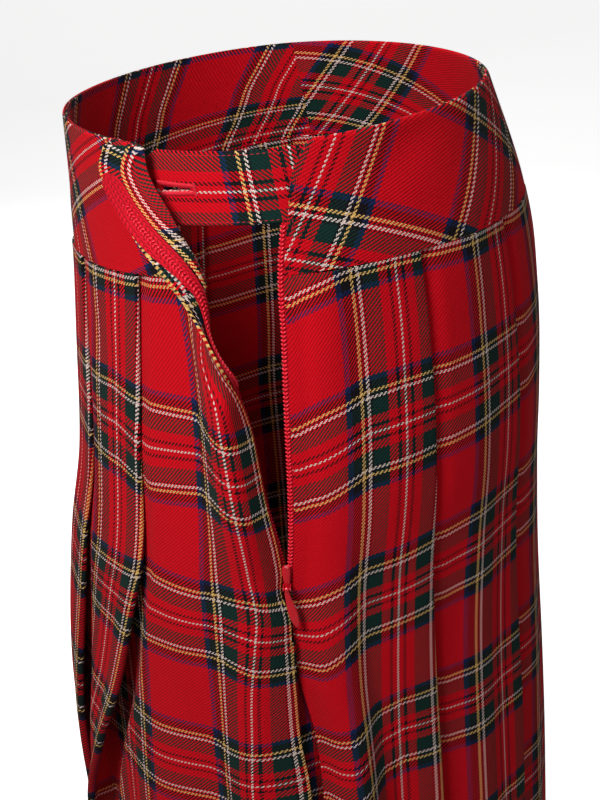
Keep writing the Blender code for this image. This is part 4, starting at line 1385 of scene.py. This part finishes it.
def tape_front_line(drop):
    """The front tape at a drop, narrowed where its top end is rounded."""
    arc = tape_front_arc(drop)
    half = 0.5 * float(rounded(drop - TAPE_TOP, TAPE_ROUND))
    stops = line_length(arc)[-1] * np.linspace(0.5 - half, 0.5 + half, TAPE_COLUMNS + 1)
    return points_along(arc, stops)


def tape_back_line(drop):
    """The back tape lies inside the back edge and stands a little past it."""
    edge = BACK_EDGE.at(drop)
    inside = YOKE_BACK_LIFT - YOKE_BACK_CLOTH / 2
    if drop > YOKE_DEPTH:
        inside = single_share(drop) * edge.edge_lift - CLOTH / 2
    places = edge.edge - TAPE_BACK_REACH + np.linspace(0.0, TAPE_WIDTH, TAPE_COLUMNS + 1)
    return level_line(places, inside - SEAM_GAP - TAPE_CLOTH / 2)


def make_tape_knit():
    """Knitted tape: fine herringbone ribs, counted in millimetres on its own UV map."""
    material, tree, shader = new_material("zip_knit")
    across, down = thread_counts(tree)
    zigzag = calculate(tree, "PINGPONG", across, COLUMN_MILLIMETRES)
    rib = wave(tree, calculate(tree, "ADD", down, zigzag), RIB_MILLIMETRES)
    height = blended(tree, wave(tree, across, COLUMN_MILLIMETRES), rib, COLUMN_HEIGHT_SHARE)
    feed(tree, shader, {
        # Painted shade: the knit's colour falls to 0.28 of the tape red where its ribs and columns are
        # low
        "Base Color": tinted(tree, height, TAPE_RED, 0.28), "Roughness": 0.75,
        "Specular IOR Level": 0.08, "Sheen Weight": 0.02,
        "Normal": relief(tree, height, 0.8, 0.0003)})
    return material


tape_knit = Finish("zip_tape", make_tape_knit())


def tape_sheet(name, drops, lines, shift):
    """A sheet of tape whose UV map counts millimetres."""
    across = np.linspace(0.0, 1.0, TAPE_COLUMNS + 1)
    edges = rounded(np.minimum(across, 1.0 - across) * TAPE_WIDTH, TAPE_CLOTH)
    counts = [(line_length(line) / MILLIMETRE * SETT, np.full(len(line), drop / MILLIMETRE * SETT))
              for drop, line in zip(drops, lines)]
    make_sheet(name, drops, lines, counts, TAPE_CLOTH, shift, edges, finish=tape_knit)


coil_nylon = make_thread("coil_nylon", COIL_RED, roughness=0.4)
coil = Stitch(COIL_STEP, COIL_SIZE, coil_nylon, "zip_tape")
front_drops = np.concatenate([TAPE_TOP + EDGE_ROWS,
                              np.linspace(TAPE_TOP + EDGE_END, ZIP_END, TAPE_ROWS)])
tape_sheet("zip_tape_front_knit", front_drops, [tape_front_line(drop) for drop in front_drops],
           TAPE_SHIFT)
back_drops = np.linspace(TAPE_BACK_TOP, ZIP_END, TAPE_ROWS)
tape_sheet("zip_tape_back_knit", back_drops, [tape_back_line(drop) for drop in back_drops],
           0.0)


def sew_coil(side, drops, lines, places, turns, depth, up):
    """The coil of one tape: two rows of strands slanted against each other."""
    for number, (aside, slant) in enumerate(turns):
        path = seam_path(drops, lines, places + aside, depth, up)
        sew(f"zip_coil_{side}_{number + 1}", [path], coil, slant)


coil_drops = np.linspace(COIL_TOP, COIL_END, COIL_POINTS)
coil_lines = [tape_front_arc(drop) for drop in coil_drops]
widths = np.array([line_length(line)[-1] for line in coil_lines])
at_edge = smooth((coil_drops - COIL_TOP) / (COIL_EDGE_DROP - COIL_TOP))
coil_places = widths * COIL_TOP_SHARE * (1.0 - at_edge) + (widths - COIL_FROM_EDGE) * at_edge
sew_coil("front", coil_drops, coil_lines, coil_places, COIL_TURNS, TAPE_SHIFT - TAPE_CLOTH / 2, -OUTWARD)
coil_drops = np.linspace(TAPE_BACK_TOP + EDGE_END, COIL_END, COIL_POINTS)
sew_coil("back", coil_drops, [tape_back_line(drop) for drop in coil_drops], np.zeros(COIL_POINTS),
         COIL_BACK_TURNS, TAPE_CLOTH / 2, OUTWARD)


# Slider and pull
# A cast slider with two lugs and a pin, and a teardrop pull that hangs from the pin. Both are
# dipped in red enamel.
SLIDER_DROP = 0.2195
SLIDER_PLACE = -0.0024
SLIDER_LENGTH = 0.0130
SLIDER_INNER_LIFT = 0.0024
SLIDER_THICK = 0.0034
SLIDER_END = 0.1
SLIDER_END_SHARE = 0.7
SLIDER_LEAN_STEP = 0.005
SLIDER_HALVES = ((0.0, 0.0019), (0.08, 0.0022), (0.30, 0.0023), (0.62, 0.0018), (0.90, 0.0014),
                 (1.0, 0.0012))
PIN_DROP = 0.2240
PIN_LIFT = 0.0076
PIN_RADIUS = 0.0005
LUG_RADIUS = 0.0012
LUG_PLACE = 0.00175
LUG_THICK = 0.0007
LUG_FOOT = ((0.0026, 0.0010), (0.0012, 0.0), (0.0026, -0.0010))
LUG_FOOT_DEEP = 0.0009
KNUCKLE_RADIUS = 0.0014
KNUCKLE_WIDTH = 0.0022
PULL_LENGTH = 0.0215
PULL_WIDTH = 0.0048
PULL_NECK = 0.0026
PULL_THICK = 0.0012
PULL_WIDEST = 0.62
PULL_TIP = 1.01
PULL_TIP_LEAST = 0.02
PULL_ROWS = 23
PULL_SWAY_START = 0.002
PULL_SWAY = 0.2
PULL_TOP_SHARE = 0.8
PULL_THIN_TIP = 0.45
PULL_THIN_RATE = 3.0
SECTION_SIDES = 20
SECTION_POWER = 0.7
BAR_SOFT = 0.3
ENAMEL_RED = (0.44, 0.002, 0.009)


def loft(name, rows):
    """A closed rounded bar through (middle, half width along Y, half thickness along X) rows."""
    angle = math.tau * np.arange(SECTION_SIDES) / SECTION_SIDES
    across = signed_power(np.cos(angle), SECTION_POWER)
    out = signed_power(np.sin(angle), SECTION_POWER)
    rings = []
    for (x, y, z), half, deep in rows:
        ring = np.stack([x + out * deep, y + across * half, np.full_like(out, z)], axis=1)
        rings.append(ring.tolist())
    return skinned(name, rings)


def round_bar(name, radius, width, middle):
    """A round bar along Y with softened ends."""
    end = width / 2
    soft = min(radius, width) * BAR_SOFT
    profile = [(0.0, -end), (radius - soft, -end), (radius, soft - end),
               (radius, end - soft), (radius - soft, end), (0.0, end)]
    data = turned_mesh(name, profile, SECTION_SIDES)
    data.transform(Matrix.Translation(middle) @ Matrix.Rotation(-math.pi / 2, 4, "X"))
    return data


def joined(name, meshes, place, material):
    """One object of several meshes moved to their place."""
    mesh = bmesh.new()
    for data in meshes:
        mesh.from_mesh(data)
    data = bpy.data.meshes.new(name)
    mesh.transform(place)
    mesh.to_mesh(data)
    mesh.free()
    return finished(name, data, material, SHARP_EDGE)


def make_enamel():
    """Glossy red enamel with faint handling marks that darken it a little and vary its roughness."""
    material, tree, shader = new_material("red_enamel")
    marks = object_noise(tree, 900.0, 4.0)
    feed(tree, shader, {
        "Base Color": tinted(tree, marks, ENAMEL_RED, 0.8), "Coat Weight": 0.25,
        "Coat Roughness": 0.12, "Roughness": calculate(tree, "MULTIPLY_ADD", marks, 0.30, 0.16)})
    return material


enamel = make_enamel()
above, here, below = (ring_point(SLIDER_DROP + step, SLIDER_PLACE, SLIDER_INNER_LIFT)
                      for step in (-SLIDER_LEAN_STEP, 0.0, SLIDER_LEAN_STEP))
lean = math.atan2(below.x - above.x, above.z - below.z)
slider_place = Matrix.Translation(here) @ Matrix.Rotation(-lean, 4, "Y")
slider_rows = []
for part, half in SLIDER_HALVES:
    swell = math.sin(math.pi * min(max(part, SLIDER_END), 1.0 - SLIDER_END))
    deep = SLIDER_THICK / 2 * (SLIDER_END_SHARE + (1.0 - SLIDER_END_SHARE) * swell)
    slider_rows.append(((SLIDER_THICK / 2, 0.0, SLIDER_LENGTH * (0.5 - part)), half, deep))
pin = Vector((PIN_LIFT - SLIDER_INNER_LIFT, 0.0, SLIDER_DROP - PIN_DROP))
slider_parts = [loft("slider_body", slider_rows),
                round_bar("slider_pin", PIN_RADIUS, 2 * LUG_PLACE, pin)]
for place in (-LUG_PLACE, LUG_PLACE):
    slider_parts.append(round_bar("slider_lug", LUG_RADIUS, LUG_THICK, pin + Vector((0.0, place, 0.0))))
    foot = [((pin.x - reach, place, pin.z - fall), LUG_THICK / 2, LUG_FOOT_DEEP)
            for reach, fall in LUG_FOOT]
    slider_parts.append(loft("lug_foot", foot))
slider = joined("zip_slider_enamel", slider_parts, slider_place, enamel)
declare(slider, "zip_slider")
pull_rows = []
for part in np.linspace(0.0, 1.0, PULL_ROWS):
    if part < PULL_WIDEST:
        half = PULL_NECK / 2 + (PULL_WIDTH - PULL_NECK) / 2 * smooth(part / PULL_WIDEST)
    else:
        past = (part - PULL_WIDEST) / (PULL_TIP - PULL_WIDEST)
        half = PULL_WIDTH / 2 * math.sqrt(max(1.0 - past ** 2, PULL_TIP_LEAST))
    down = part * PULL_LENGTH
    sway = PULL_SWAY * max(down - PULL_SWAY_START, 0.0)
    deep = PULL_THICK / 2 * min(1.0, PULL_THIN_TIP + PULL_THIN_RATE * (1.0 - part))
    pull_rows.append(((0.0, sway, -KNUCKLE_RADIUS * PULL_TOP_SHARE - down), half, deep))
pull_parts = [loft("pull_blade", pull_rows),
              round_bar("pull_knuckle", KNUCKLE_RADIUS, KNUCKLE_WIDTH, (0.0, 0.0, 0.0))]
pull = joined("zip_pull_enamel", pull_parts, Matrix.Translation(slider_place @ pin), enamel)
declare(pull, "zip_pull", "zip_pull")
